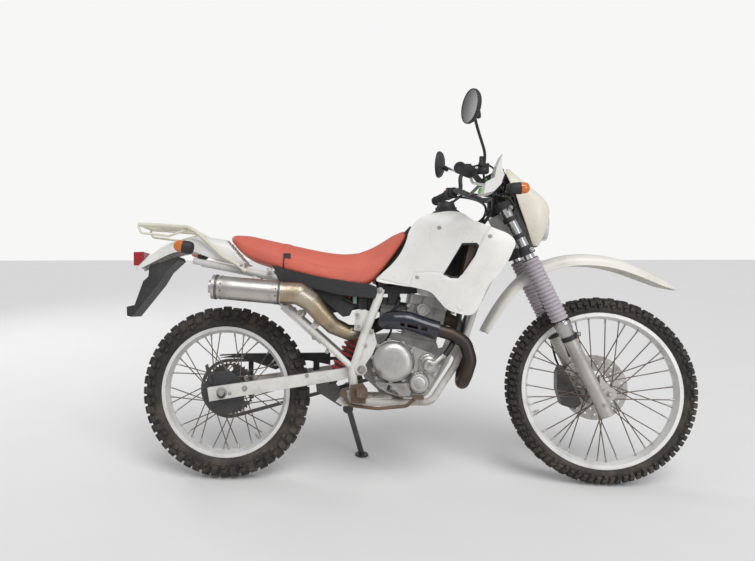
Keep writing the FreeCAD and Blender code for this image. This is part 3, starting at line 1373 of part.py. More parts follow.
def radiator():
    """Left radiator behind the cover's vent, with the lug that hangs it on its cross bar."""
    low, high = V(846, RADIATOR_Y, 690), V(896, RADIATOR_Y, 872)
    along = (high - low)
    out = V(along.z, 0, -along.x).normalize()
    forward = out * RADIATOR_T
    corners = [low, low + forward, high + forward, high]
    core = Part.Face(Part.makePolygon(corners + corners[:1])).extrude(V(0, RADIATOR_W, 0))
    pitch = along * (1 / RADIATOR_SLOTS)
    slots = []
    for i in range(RADIATOR_SLOTS):
        foot = low + pitch * (i + 0.25) + out * (RADIATOR_T - 5) + V(0, 5, 0)
        side = [foot, foot + pitch * 0.5, foot + pitch * 0.5 + out * 8, foot + out * 8]
        face = Part.Face(Part.makePolygon(side + side[:1]))
        slots.append(face.extrude(V(0, RADIATOR_W - 10, 0)))
    core = core.cut(Part.makeCompound(slots))
    lug = plate([(872, HANGER_Z - 12), (HANGER_X + 9, HANGER_Z - 9), (HANGER_X + 9, HANGER_Z + 9),
                 (872, HANGER_Z + 12)], RADIATOR_Y, RADIATOR_Y + PLATE_T)
    return fuse([core, lug])


def steering_nodes():
    """Every piece that turns with the handlebar, by node name."""
    clamps = fork_clamps()
    return {
        "fork_tubes": fork_tubes(),
        "fork_sliders": fork_sliders(),
        "fork_boots": group([fork_boot(-1), fork_boot(1)]),
        "fork_clamps": clamps,
        "handlebar": handlebar(),
        "hand_controls": hand_controls(),
        "knuckle_guard": knuckle_guard(),
        "mirrors": group([mirror(-1), mirror(1)]),
        "instrument_cluster": instrument_cluster().cut(clamps),
        "headlight_cowl": headlight_cowl(),
        "headlight": headlight(),
        "headlight_stays": group(both_sides(headlight_stay())),
        "front_indicators": group(both_sides(front_indicator())),
        "front_fender": front_fender(),
        "brake_calliper": brake_calliper(),
        "brake_hose": brake_hose(),
    }


def front_wheel_nodes():
    nodes = wheel("front", FRONT_AXLE, FRONT_R, FRONT_TYRE_W, FRONT_LUG_ROWS, FRONT_RIM_R,
                  FRONT_RIM_W, FRONT_HUB_W, FRONT_FLANGE_R, 22.0)
    nodes["front_disc"] = brake_disc()
    return nodes


def rear_wheel_nodes():
    nodes = wheel("rear", REAR_AXLE, REAR_R, REAR_TYRE_W, REAR_LUG_ROWS, REAR_RIM_R,
                  REAR_RIM_W, REAR_HUB_W, REAR_FLANGE_R, 48.0)
    sprocket_at = REAR_AXLE + V(0, CHAIN_Y, 0)
    ring = toothed_disc(sprocket_at, REAR_TEETH, 6.0, 40.0, 12.0)
    carrier = drum(0, REAR_R, 46, REAR_HUB_W / 2, CHAIN_Y + 3)
    bore = drum(0, REAR_R, 14, 0, CHAIN_Y + 20)
    nodes["rear_sprocket"] = fuse([ring, carrier]).cut(bore)
    return nodes


BODIES = {
    "chassis": chassis_nodes,
    "steering": steering_nodes,
    "front_wheel": front_wheel_nodes,
    "rear_wheel": rear_wheel_nodes,
    "side_stand": lambda: {"side_stand": side_stand()},
}
STEERED = ("steering", "front_wheel")


def steer_placement():
    """Turn of the steered pieces about the steering axis, as parked."""
    return FreeCAD.Placement(V(0, 0, 0), FreeCAD.Rotation(FORK_UP, PARKED_STEER), STEER_POINT)


def lean_placement():
    """Lean to the left about the line where the tyres meet the ground."""
    return FreeCAD.Placement(V(0, 0, 0), FreeCAD.Rotation(V(1, 0, 0), -LEAN))


def placed_bodies():
    """All nodes by body, in the parked stance, and the shift to the footprint's middle."""
    lean = lean_placement()
    bodies = {}
    for body, make in BODIES.items():
        pose = lean.multiply(steer_placement()) if body in STEERED else lean
        bodies[body] = {}
        for name, shape in make().items():
            shape.Placement = pose.multiply(shape.Placement)
            bodies[body][name] = shape
    box = FreeCAD.BoundBox()
    for nodes in bodies.values():
        for shape in nodes.values():
            box.add(shape.optimalBoundingBox(False, False))
    shift = V(-(box.XMin + box.XMax) / 2, -(box.YMin + box.YMax) / 2, -box.ZMin)
    for nodes in bodies.values():
        for shape in nodes.values():
            shape.translate(shift)
    return bodies, shift


def main():
    os.makedirs("parts", exist_ok=True)
    bodies, shift = placed_bodies()
    print("shift to the footprint's middle:", [round(c, 3) for c in shift])
    for nodes in bodies.values():
        for name, shape in nodes.items():
            shape.exportStep("parts/" + name + ".step")


if __name__ == "__main__":
    main()
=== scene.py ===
# Dual sport motorcycle: finishes, soft pieces and fine detail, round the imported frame.
# Pieces are laid out upright in millimetres, X forward, Y to the rider's left, Z up, with the
# rear axle above the origin. They are then steered and leaned the way the frame stands.
import json
import math
import random

import bmesh
import bpy
from mathutils import Matrix, Vector
from mathutils.bvhtree import BVHTree


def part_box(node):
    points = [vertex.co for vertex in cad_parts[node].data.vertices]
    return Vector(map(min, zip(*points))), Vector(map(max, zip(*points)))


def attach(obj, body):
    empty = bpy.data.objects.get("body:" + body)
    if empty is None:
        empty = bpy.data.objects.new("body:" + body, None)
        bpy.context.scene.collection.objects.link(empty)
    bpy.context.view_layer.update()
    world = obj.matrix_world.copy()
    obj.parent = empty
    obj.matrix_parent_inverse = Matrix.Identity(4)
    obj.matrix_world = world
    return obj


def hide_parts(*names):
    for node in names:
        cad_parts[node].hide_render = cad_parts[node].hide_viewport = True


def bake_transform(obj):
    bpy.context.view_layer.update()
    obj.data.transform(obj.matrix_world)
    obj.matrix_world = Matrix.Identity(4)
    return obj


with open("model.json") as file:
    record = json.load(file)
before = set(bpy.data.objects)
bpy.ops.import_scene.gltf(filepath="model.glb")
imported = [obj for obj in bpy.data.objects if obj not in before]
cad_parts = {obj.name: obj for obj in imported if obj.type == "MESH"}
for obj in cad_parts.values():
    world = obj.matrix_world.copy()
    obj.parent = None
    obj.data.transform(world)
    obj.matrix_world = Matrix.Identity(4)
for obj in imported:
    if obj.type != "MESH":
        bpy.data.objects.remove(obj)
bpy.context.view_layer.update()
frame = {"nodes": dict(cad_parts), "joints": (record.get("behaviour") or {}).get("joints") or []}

mm = 0.001

stance = {
    "lean": 10.5,           # degrees, to the left
    "steer": -3.0,          # degrees, as parked
    "rake": 24.5,
    "wheelbase": 1375,
    "rearRadius": 318,
    "frontRadius": 337,
    "forkX": 1118,          # fork leg's axis at forkZ
    "forkZ": 813,
    "forkOffset": 24,       # from the steering axis to the fork legs
    "forkSpread": 95,
}

forkUp = Vector((-math.sin(math.radians(stance["rake"])), 0, math.cos(math.radians(stance["rake"]))))
forkForward = Vector((forkUp.z, 0, -forkUp.x))
rearAxle = Vector((0, 0, stance["rearRadius"]))
frontAxle = Vector((stance["wheelbase"], 0, stance["frontRadius"]))
steerPoint = Vector((stance["forkX"], 0, stance["forkZ"])) - forkForward * stance["forkOffset"]

joints = {j["name"]: j for j in frame["joints"]}
leanTurn = Matrix.Rotation(math.radians(-stance["lean"]), 4, "X")
rowShift = Vector(joints["rear_wheel_spin"]["pos_m"]) - leanTurn @ (rearAxle * mm)
uprightToRow = Matrix.Translation(rowShift) @ leanTurn @ Matrix.Scale(mm, 4)
steerTurn = (Matrix.Translation(steerPoint)
             @ Matrix.Rotation(math.radians(stance["steer"]), 4, forkUp)
             @ Matrix.Translation(-steerPoint))
steeredBodies = ("steering", "front_wheel")


def placeOf(body):
    return uprightToRow @ steerTurn if body in steeredBodies else uprightToRow


def forkPoint(z, y=0.0):
    return Vector((stance["forkX"] + (stance["forkZ"] - z) * math.tan(math.radians(stance["rake"])), y, z))


# The camera comes first: focal length and middle of view fitted to the photograph's wheels.
camera = {
    "place": (415.6, -2404.3, 1088.9),   # in the ground frame under the rear axle
    "yaw": 3.726,
    "pitch": -4.894,
    "roll": 0.480,
    "focalPixels": 669.7,
    "viewWidth": 755,
    "viewHeight": 561,
    "middleX": 292.68,                   # where the lens axis meets the picture
    "middleY": 242.25,
}


def addObject(name, data):
    obj = bpy.data.objects.new(name, data)
    bpy.context.scene.collection.objects.link(obj)
    return obj


def makeCamera():
    turn = (Matrix.Rotation(math.radians(camera["yaw"]), 4, "Z")
            @ Matrix.Rotation(math.radians(camera["pitch"]), 4, "X")
            @ Matrix.Rotation(math.radians(camera["roll"]), 4, "Y"))
    data = bpy.data.cameras.new("camera")
    data.sensor_fit = "HORIZONTAL"
    data.sensor_width = 36
    data.lens = camera["focalPixels"] / camera["viewWidth"] * data.sensor_width
    data.shift_x = (camera["viewWidth"] / 2 - camera["middleX"]) / camera["viewWidth"]
    data.shift_y = (camera["middleY"] - camera["viewHeight"] / 2) / camera["viewWidth"]
    data.clip_start, data.clip_end = 0.05, 60
    obj = addObject("camera", data)
    spot = Vector(camera["place"]) * mm + Vector((rowShift.x, rowShift.y, 0))
    obj.matrix_world = Matrix.Translation(spot) @ turn @ Matrix.Rotation(math.radians(90), 4, "X")
    bpy.context.scene.camera = obj


makeCamera()
print("camera set")


# Finishes

def newMaterial(name):
    material = bpy.data.materials.new(name)
    material.use_nodes = True
    tree = material.node_tree
    shader = tree.nodes["Principled BSDF"]
    return material, tree, shader


def node(tree, kind, **values):
    # a value that names no property of the node goes to its input of that name
    made = tree.nodes.new(kind)
    for key, value in values.items():
        if hasattr(made, key):
            setattr(made, key, value)
        else:
            made.inputs[key.replace("_", " ")].default_value = value
    return made


def feed(tree, value, socket):
    # a link from another node, or a constant
    if isinstance(value, bpy.types.NodeSocket):
        tree.links.new(value, socket)
    else:
        socket.default_value = (*value, 1) if isinstance(value, tuple) else value


def objectPlace(tree, stretch=(1, 1, 1)):
    where = node(tree, "ShaderNodeTexCoord")
    mapping = node(tree, "ShaderNodeMapping", Scale=stretch)
    feed(tree, where.outputs["Object"], mapping.inputs["Vector"])
    return mapping.outputs["Vector"]


def noiseMask(tree, scale, low, high, detail=4.0, stretch=(1, 1, 1), roughness=0.6):
    # noise squeezed between two levels, so that it reads as patches
    cloud = node(tree, "ShaderNodeTexNoise", Scale=scale, Detail=detail, Roughness=roughness)
    feed(tree, objectPlace(tree, stretch), cloud.inputs["Vector"])
    levels = node(tree, "ShaderNodeMapRange", From_Min=low, From_Max=high)
    feed(tree, cloud.outputs["Fac"], levels.inputs["Value"])
    return levels.outputs["Result"]


def mix(tree, kind, share, values):
    made = node(tree, "ShaderNodeMix", data_type=kind)
    start, result = {"FLOAT": (2, 0), "RGBA": (6, 2)}[kind]      # where that kind's sockets begin
    feed(tree, share, made.inputs["Factor"])
    for i, value in enumerate(values):
        feed(tree, value, made.inputs[start + i])
    return made.outputs[result]


def mixColour(tree, share, first, second):
    return mix(tree, "RGBA", share, (first, second))


def mixNumber(tree, share, first, second):
    return mix(tree, "FLOAT", share, (first, second))


def maths(tree, operation, *terms, clamp=False):
    made = node(tree, "ShaderNodeMath", operation=operation, use_clamp=clamp)
    for term, socket in zip(terms, made.inputs):
        feed(tree, term, socket)
    return made.outputs[0]


def bumpFrom(tree, shader, height, distance):
    # goes on top of the bump or rounding that is there
    bump = node(tree, "ShaderNodeBump", Distance=distance, Strength=1.0)
    feed(tree, height, bump.inputs["Height"])
    old = shader.inputs["Normal"].links
    if old:
        feed(tree, old[0].from_socket, bump.inputs["Normal"])
    feed(tree, bump.outputs["Normal"], shader.inputs["Normal"])


def roundedEdges(tree, shader):
    # soft edges in the shading, and a mask of where the edges are
    soft = node(tree, "ShaderNodeBevel", samples=4, Radius=1.4 * mm)
    flat = node(tree, "ShaderNodeNewGeometry")
    dot = node(tree, "ShaderNodeVectorMath", operation="DOT_PRODUCT")
    feed(tree, soft.outputs["Normal"], dot.inputs[0])
    feed(tree, flat.outputs["Normal"], dot.inputs[1])
    edge = node(tree, "ShaderNodeMapRange", From_Min=0.995, From_Max=0.90)
    feed(tree, dot.outputs["Value"], edge.inputs["Value"])
    feed(tree, soft.outputs["Normal"], shader.inputs["Normal"])
    return edge.outputs["Result"]


def dress(tree, shader, **values):
    for name, value in values.items():
        feed(tree, value, shader.inputs[name.replace("_", " ")])


def wornFinish(name, colour, roughness, metallic=0.0, dirt=(0.10, 0.085, 0.07), dirtShare=0.35,
               dirtScale=9.0, wear=None, wearShare=0.0, wearScale=60.0, grain=0.0004,
               grainScale=900.0, coat=0.0, lowDirt=0.0):
    # a painted, cast or moulded surface with dirt in patches, worn spots and edges, and a fine grain
    material, tree, shader = newMaterial(name)
    edges = roundedEdges(tree, shader)
    patches = noiseMask(tree, dirtScale, 0.46, 0.80, detail=7)
    specks = noiseMask(tree, dirtScale * 14, 0.52, 0.74, detail=5)
    soil = maths(tree, "MULTIPLY_ADD", patches, 0.75, mixNumber(tree, patches, 0.0, specks))
    amount = maths(tree, "MULTIPLY", soil, dirtShare, clamp=True)
    if lowDirt:                                       # splashes near the ground
        height = node(tree, "ShaderNodeSeparateXYZ")
        feed(tree, objectPlace(tree), height.inputs[0])
        fall = node(tree, "ShaderNodeMapRange", From_Min=0.45, From_Max=0.20, To_Max=lowDirt)
        feed(tree, height.outputs["Z"], fall.inputs["Value"])
        splash = maths(tree, "MULTIPLY", fall.outputs["Result"], noiseMask(tree, 22, 0.30, 0.70, detail=6))
        amount = maths(tree, "ADD", amount, splash, clamp=True)
    base = mixColour(tree, amount, colour, dirt)
    rough = mixNumber(tree, amount, roughness, min(1.0, roughness + 0.3))
    if wear:
        spots = noiseMask(tree, wearScale, 0.66 - 0.1 * wearShare, 0.70, detail=6, roughness=0.7)
        worn = maths(tree, "MULTIPLY", spots, noiseMask(tree, 7, 0.42, 0.62, detail=2), clamp=True)
        rough = mixNumber(tree, worn, rough, 0.75)
        rubbed = maths(tree, "MULTIPLY", edges, noiseMask(tree, 35, 0.45, 0.65, detail=5), clamp=True)
        for share in (worn, rubbed):
            base = mixColour(tree, share, base, wear)
    dress(tree, shader, Base_Color=base, Roughness=rough, Metallic=metallic, Coat_Weight=coat, Coat_Roughness=0.12)
    if grain:
        bumpFrom(tree, shader, noiseMask(tree, grainScale, 0.2, 0.8, detail=3), grain)
    bumpFrom(tree, shader, noiseMask(tree, 30, 0.0, 1.0, detail=2), 0.0008)
    return material


def brushedFinish(name, colour, roughness, stretch, tint=None, tintScale=5.0, stain=(0.2, 0.16, 0.12),
                  stainShare=0.3):
    # bare metal with a grain along one direction and stains
    material, tree, shader = newMaterial(name)
    hair = noiseMask(tree, 260, 0.25, 0.75, detail=3, stretch=stretch)
    amount = maths(tree, "MULTIPLY", noiseMask(tree, 16, 0.50, 0.78, detail=7), stainShare)
    base = colour
    if tint:
        base = mixColour(tree, noiseMask(tree, tintScale, 0.38, 0.62, detail=2), base, tint)
    rough = mixNumber(tree, hair, roughness * 0.8, roughness * 1.25)
    dress(tree, shader, Base_Color=mixColour(tree, amount, base, stain),
          Roughness=mixNumber(tree, amount, rough, 0.7), Metallic=1.0)
    bumpFrom(tree, shader, hair, 0.00015)
    bumpFrom(tree, shader, noiseMask(tree, 24, 0.0, 1.0, detail=2), 0.0006)
    return material


def plainFinish(name, colour, roughness, metallic=0.0, transmission=0.0, coat=0.0, grain=0.0003):
    # an even plastic, glass or paint with a slightly uneven tone
    material, tree, shader = newMaterial(name)
    shade = tuple(c * (1 - 0.12) for c in colour)
    rough = mixNumber(tree, noiseMask(tree, 90, 0.2, 0.8, detail=4), roughness * 0.85, min(1, roughness * 1.15))
    dress(tree, shader, Base_Color=mixColour(tree, noiseMask(tree, 40, 0.3, 0.7, detail=5), colour, shade),
          Roughness=rough, Metallic=metallic, Transmission_Weight=transmission, Coat_Weight=coat)
    if grain:
        bumpFrom(tree, shader, noiseMask(tree, 700, 0.2, 0.8, detail=3), grain)
    return material


rust = (0.16, 0.062, 0.022)

finishes = {
    "framePaint": wornFinish(
        "scuffedFramePaint", (0.71, 0.70, 0.66), 0.42, dirt=(0.17, 0.13, 0.095), dirtShare=0.55, wear=rust,
        wearShare=0.35, wearScale=42, lowDirt=0.55),
    "cradlePaint": wornFinish(
        "chippedCradlePaint", (0.60, 0.585, 0.54), 0.5, dirt=(0.15, 0.11, 0.08), dirtShare=0.9, wear=rust,
        wearShare=0.9, wearScale=26, lowDirt=0.6),
    "rackPaint": wornFinish(
        "creamRackPaint", (0.74, 0.71, 0.58), 0.45, dirt=(0.22, 0.17, 0.11), dirtShare=0.4, wear=rust, wearShare=0.2),
    "blackPaint": wornFinish(
        "satinBlackPaint", (0.025, 0.025, 0.028), 0.38, dirt=(0.16, 0.14, 0.12), dirtShare=0.35,
        wear=(0.25, 0.23, 0.21), wearShare=0.2, lowDirt=0.25),
    "whiteMoulding": wornFinish(
        "whiteMoulding", (0.80, 0.79, 0.75), 0.30, dirt=(0.42, 0.37, 0.30), dirtShare=0.35, wear=(0.36, 0.32, 0.27),
        wearShare=0.12, grain=0.00005, coat=0.15),
    "creamMoulding": wornFinish(
        "agedCreamMoulding", (0.76, 0.72, 0.61), 0.36, dirt=(0.45, 0.38, 0.27), dirtShare=0.45,
        wear=(0.40, 0.34, 0.26), wearShare=0.18, grain=0.00005, coat=0.1),
    "fenderMoulding": wornFinish(
        "fenderMoulding", (0.77, 0.75, 0.68), 0.34, dirt=(0.40, 0.34, 0.26), dirtShare=0.4, grain=0.00005, coat=0.12),
    "blackMoulding": wornFinish(
        "blackMoulding", (0.022, 0.022, 0.023), 0.55, dirt=(0.13, 0.115, 0.10), dirtShare=0.45, grain=0.0003,
        lowDirt=0.2),
    "engineAlloy": wornFinish(
        "castAlloy", (0.43, 0.42, 0.395), 0.46, metallic=0.72, dirt=(0.065, 0.052, 0.042), dirtShare=0.8,
        dirtScale=12, grain=0.0006, grainScale=620, lowDirt=0.4),
    "coverAlloy": wornFinish(
        "polishedCoverAlloy", (0.55, 0.54, 0.51), 0.34, metallic=0.82, dirt=(0.08, 0.065, 0.05), dirtShare=0.55,
        dirtScale=14, grain=0.0002, lowDirt=0.35),
    "hubAlloy": wornFinish(
        "dullHubAlloy", (0.36, 0.35, 0.34), 0.42, metallic=0.8, dirt=(0.08, 0.065, 0.05), dirtShare=0.7, dirtScale=16,
        grain=0.0003),
    "sliderAlloy": wornFinish(
        "sliderAlloy", (0.47, 0.455, 0.42), 0.42, metallic=0.55, dirt=(0.15, 0.12, 0.09), dirtShare=0.6,
        grain=0.0003),
    "rimAlloy": wornFinish(
        "paleRimAlloy", (0.80, 0.795, 0.77), 0.38, metallic=0.3, dirt=(0.24, 0.19, 0.14), dirtShare=0.45,
        dirtScale=16, grain=0.0002),
    "spokeSteel": brushedFinish(
        "dullSpokeSteel", (0.21, 0.175, 0.15), 0.5, (1, 1, 1), stain=(0.10, 0.05, 0.025), stainShare=0.8),
    "headerSteel": brushedFinish(
        "heatDarkSteel", (0.060, 0.056, 0.055), 0.44, (3, 1, 1), tint=(0.095, 0.070, 0.055), tintScale=7,
        stain=(0.10, 0.055, 0.03), stainShare=0.7),
    "shieldPaint": wornFinish(
        "glossShieldPaint", (0.012, 0.014, 0.024), 0.20, dirt=(0.12, 0.10, 0.09), dirtShare=0.3, grain=0.00005,
        coat=0.5),
    "pipeSteel": brushedFinish(
        "tintedPipeSteel", (0.52, 0.475, 0.39), 0.28, (2, 30, 2), tint=(0.40, 0.31, 0.20), tintScale=6,
        stain=(0.13, 0.10, 0.08), stainShare=0.7),
    "mufflerSteel": brushedFinish(
        "brushedMufflerSteel", (0.60, 0.585, 0.56), 0.30, (1, 30, 30), tint=(0.50, 0.475, 0.44),
        stain=(0.22, 0.18, 0.14), stainShare=0.6),
    "chrome": brushedFinish(
        "chromeTube", (0.70, 0.70, 0.71), 0.12, (1, 1, 1), stain=(0.30, 0.26, 0.22), stainShare=0.35),
    "darkSteel": wornFinish(
        "oilyDarkSteel", (0.13, 0.125, 0.12), 0.40, metallic=0.75, dirt=(0.05, 0.04, 0.03), dirtShare=0.8,
        dirtScale=18, grain=0.0003),
    "discSteel": brushedFinish(
        "brakeDiscSteel", (0.48, 0.47, 0.45), 0.28, (1, 40, 1), stain=(0.20, 0.13, 0.08), stainShare=0.5),
    "rustySteel": wornFinish(
        "rustySteel", (0.17, 0.115, 0.08), 0.62, metallic=0.35, dirt=(0.085, 0.045, 0.022), dirtShare=1.0,
        dirtScale=15, wear=(0.32, 0.25, 0.19), wearShare=0.4, grain=0.0007, grainScale=420),
    "drumPaint": wornFinish(
        "darkDrumAlloy", (0.06, 0.06, 0.062), 0.42, metallic=0.4, dirt=(0.14, 0.115, 0.09), dirtShare=0.6,
        grain=0.0004),
    "bootRubber": wornFinish(
        "lilacGreyBoots", (0.45, 0.41, 0.44), 0.62, dirt=(0.14, 0.12, 0.11), dirtShare=0.45, grain=0.0002),
    "gripRubber": wornFinish(
        "blackGripRubber", (0.018, 0.018, 0.019), 0.7, dirt=(0.10, 0.09, 0.08), dirtShare=0.4, grain=0.0004),
    "tyreRubber": wornFinish(
        "dustyTreadRubber", (0.030, 0.028, 0.026), 0.78, dirt=(0.125, 0.102, 0.080), dirtShare=0.85, dirtScale=11,
        grain=0.0006, grainScale=500, lowDirt=0.30),
    "radiatorCore": wornFinish(
        "dustyRadiatorCore", (0.14, 0.10, 0.07), 0.66, metallic=0.25, dirt=(0.075, 0.05, 0.035), dirtShare=0.8,
        grain=0.0006),
    "springPaint": wornFinish("redSpringPaint", (0.50, 0.045, 0.03), 0.38, dirt=(0.16, 0.08, 0.06), dirtShare=0.5),
    "amberLens": plainFinish("amberLens", (0.86, 0.22, 0.02), 0.16, transmission=0.25, coat=0.4, grain=0.0),
    "redLens": plainFinish("redLens", (0.42, 0.012, 0.018), 0.14, transmission=0.2, coat=0.5, grain=0.0),
    "lampGlass": plainFinish("lampGlass", (0.78, 0.80, 0.81), 0.08, metallic=0.35, coat=0.6, grain=0.0),
    "silverBolt": wornFinish(
        "zincBolt", (0.46, 0.45, 0.43), 0.36, metallic=0.85, dirt=(0.13, 0.08, 0.05), dirtShare=0.7, dirtScale=30),
    "cableBlack": plainFinish("blackCableSheath", (0.016, 0.016, 0.017), 0.42),
}

nodeFinishes = {
    "framePaint": ("frame_backbone", "frame_posts", "subframe", "swingarm"),
    "cradlePaint": ("frame_cradle",),
    "rackPaint": ("rear_rack",),
    "blackPaint": ("fork_clamps", "handlebar", "side_stand", "stand_bracket", "headlight_stays"),
    "rustySteel": ("footpegs", "foot_controls"),
    "engineAlloy": ("engine_crankcase", "engine_cylinder", "carburettor"),
    "headerSteel": ("exhaust_header",),
    "shieldPaint": ("header_shield",),
    "pipeSteel": ("mid_pipe",),
    "mufflerSteel": ("muffler",),
    "whiteMoulding": ("side_cover_left", "side_cover_right", "fuel_tank", "tail_cowl", "knuckle_guard"),
    "fenderMoulding": ("front_fender",),
    "creamMoulding": ("headlight_cowl",),
    "blackMoulding": ("air_box", "plate_holder", "chain_guard", "instrument_cluster", "fuel_cap"),
    "gripRubber": ("hand_controls", "brake_hose", "mirrors"),
    "redLens": ("tail_light",),
    "amberLens": ("front_indicators", "rear_indicators"),
    "lampGlass": ("headlight",),
    "tyreRubber": ("front_tyre", "rear_tyre"),
    "bootRubber": ("fork_boots",),
    "rimAlloy": ("front_rim", "rear_rim"),
    "spokeSteel": ("front_spokes", "rear_spokes"),
    "hubAlloy": ("front_hub", "rear_hub"),
    "sliderAlloy": ("fork_sliders",),
    "chrome": ("fork_tubes",),
    "darkSteel": ("drive_chain", "rear_sprocket", "rear_shock", "brake_calliper"),
    "discSteel": ("front_disc",),
    "drumPaint": ("rear_brake_panel",),
    "radiatorCore": ("radiators",),
}

for finish, names in nodeFinishes.items():
    for name in names:
        if name in frame["nodes"]:
            mesh = bpy.data.objects[name].data
            mesh.materials.clear()
            mesh.materials.append(finishes[finish])
print("finishes on", len(frame["nodes"]), "nodes")


# Helpers that make pieces

def settle(obj, body, slot, finish, *replaced):
    obj.data.materials.clear()
    obj.data.materials.append(finishes[finish])
    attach(obj, body)
    if replaced:
        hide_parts(*replaced)
    return obj


def softShading(mesh, angle=35):
    mesh.shade_smooth()
    mesh.set_sharp_from_angle(angle=math.radians(angle))


def roundEdges(obj, width, segments=2, angle=32):
    # width in millimetres
    bevel = obj.modifiers.new("roundedEdges", "BEVEL")
    bevel.width, bevel.segments = width * mm, segments
    bevel.limit_method, bevel.angle_limit = "ANGLE", math.radians(angle)
    bevel.harden_normals = True


def subdivide(obj, levels=2):
    smoother = obj.modifiers.new("smoothForm", "SUBSURF")
    smoother.levels = smoother.render_levels = levels


def thicken(obj, thickness):
    shell = obj.modifiers.new("wall", "SOLIDIFY")
    shell.thickness, shell.offset = thickness * mm, -1.0


def bakeModifiers(obj):
    graph = bpy.context.evaluated_depsgraph_get()
    baked = bpy.data.meshes.new_from_object(obj.evaluated_get(graph))
    obj.modifiers.clear()
    obj.data = baked


def meshPiece(name, form, body, slot, finish, replaced=(), angle=35):
    # form is a bmesh in upright millimetres; it is used up
    bmesh.ops.recalc_face_normals(form, faces=form.faces)
    mesh = bpy.data.meshes.new(name)
    form.to_mesh(mesh)
    form.free()
    mesh.transform(placeOf(body))
    softShading(mesh, angle)
    return settle(addObject(name, mesh), body, slot, finish, *replaced)


def boltPiece(name, form, body="chassis", angle=30):
    return meshPiece(name, form, body, "dark_steel", "silverBolt", angle=angle)


def addRings(form, rings, closed=True, caps=True):
    # skins a row of like rings of points
    rows = [[form.verts.new(p) for p in ring] for ring in rings]
    for first, second in zip(rows, rows[1:]):
        count = len(first)
        for i in range(count if closed else count - 1):
            j = (i + 1) % count
            form.faces.new((first[i], first[j], second[j], second[i]))
    if caps and closed:
        form.faces.new(rows[0][::-1])
        form.faces.new(rows[-1])
    return rows


def addLathe(form, centre, axis, profile, steps=32, closed=False):
    # profile: (distance along the axis, radius)
    axis = Vector(axis).normalized()
    side = axis.orthogonal().normalized()
    other = axis.cross(side)
    rows = []
    for along, radius in profile:
        ring = []
        for i in range(steps):
            turn = 2 * math.pi * i / steps
            ring.append(form.verts.new(Vector(centre) + axis * along
                                       + (side * math.cos(turn) + other * math.sin(turn)) * max(radius, 0.01)))
        rows.append(ring)
    pairs = list(zip(rows, rows[1:]))
    if closed:
        pairs.append((rows[-1], rows[0]))
    for first, second in pairs:
        for i in range(steps):
            j = (i + 1) % steps
            form.faces.new((first[i], first[j], second[j], second[i]))
    if not closed:
        form.faces.new(rows[0][::-1])
        form.faces.new(rows[-1])


def addBand(form, centre, axis, inner, outer, length, steps):
    addLathe(form, centre, axis, [(0, inner), (0, outer), (length, outer), (length, inner)], steps, closed=True)


def addBolt(form, spot, axis, size=8.0, washer=True):
    # hexagon head with a chamfer on a round washer
    axis = Vector(axis).normalized()
    head = size * 0.62
    if washer:
        addLathe(form, spot, axis, [(-0.5, size * 0.95), (1.2, size * 0.95)], 16)
    addLathe(form, Vector(spot) + axis * (1.2 if washer else 0), axis,
             [(0, size * 0.60), (head * 0.75, size * 0.60), (head, size * 0.50)], 6)


def addScrew(form, spot, axis, size=7.0):
    # domed screw with a cross recess seen as a dimple
    addLathe(form, spot, axis, [(-0.5, size), (0.8, size), (2.0, size * 0.82), (2.6, size * 0.45),
                                (1.2, size * 0.30)], 18)


def addBox(form, middle, half, turn=None):
    verts = []
    for x, y, z in ((x, y, z) for x in (-1, 1) for y in (-1, 1) for z in (-1, 1)):
        point = Vector((x * half[0], y * half[1], z * half[2]))
        verts.append(form.verts.new(Vector(middle) + (turn @ point if turn else point)))
    for side in ((0, 1, 3, 2), (4, 6, 7, 5), (0, 4, 5, 1), (2, 3, 7, 6), (0, 2, 6, 4), (1, 5, 7, 3)):
        form.faces.new([verts[i] for i in side])


def smoothRoute(points):
    # the line of a NURBS spline through a few chosen points
    data = bpy.data.curves.new("route", "CURVE")
    data.dimensions = "3D"
    spline = data.splines.new("NURBS")
    spline.points.add(len(points) - 1)
    for dot, point in zip(spline.points, points):
        dot.co = (*point, 1)
    spline.order_u = 3
    spline.use_endpoint_u = True
    spline.resolution_u = 10
    mesh = curveMesh(data)
    return [v.co.copy() for v in mesh.vertices]


def curveMesh(data):
    helper = addObject("curveHelper", data)
    mesh = bpy.data.meshes.new_from_object(helper.evaluated_get(bpy.context.evaluated_depsgraph_get()))
    bpy.data.objects.remove(helper)
    return mesh


def addTube(form, line, radius, steps=12):
    # round tube along a line of points, with its frame carried along
    tangents = [(line[min(i + 1, len(line) - 1)] - line[max(i - 1, 0)]).normalized() for i in range(len(line))]
    side = tangents[0].orthogonal().normalized()
    rings = []
    for point, along in zip(line, tangents):
        side = (side - along * side.dot(along)).normalized()
        other = along.cross(side)
        rings.append([point + (side * math.cos(2 * math.pi * k / steps)
                               + other * math.sin(2 * math.pi * k / steps)) * radius for k in range(steps)])
    addRings(form, rings)


def aroundPoint(centre, radius, degrees):
    turn = math.radians(degrees)
    return Vector((centre[0] + math.cos(turn) * radius, centre[1], centre[2] + math.sin(turn) * radius))


def middleOf(outline):
    return [sum(p[i] for p in outline) / len(outline) for i in (0, 1)]


def mirroredRing(left):
    return [Vector(p) for p in left] + [Vector((x, -y, z)) for x, y, z in left[::-1]]


print("helpers ready")


# Tyres

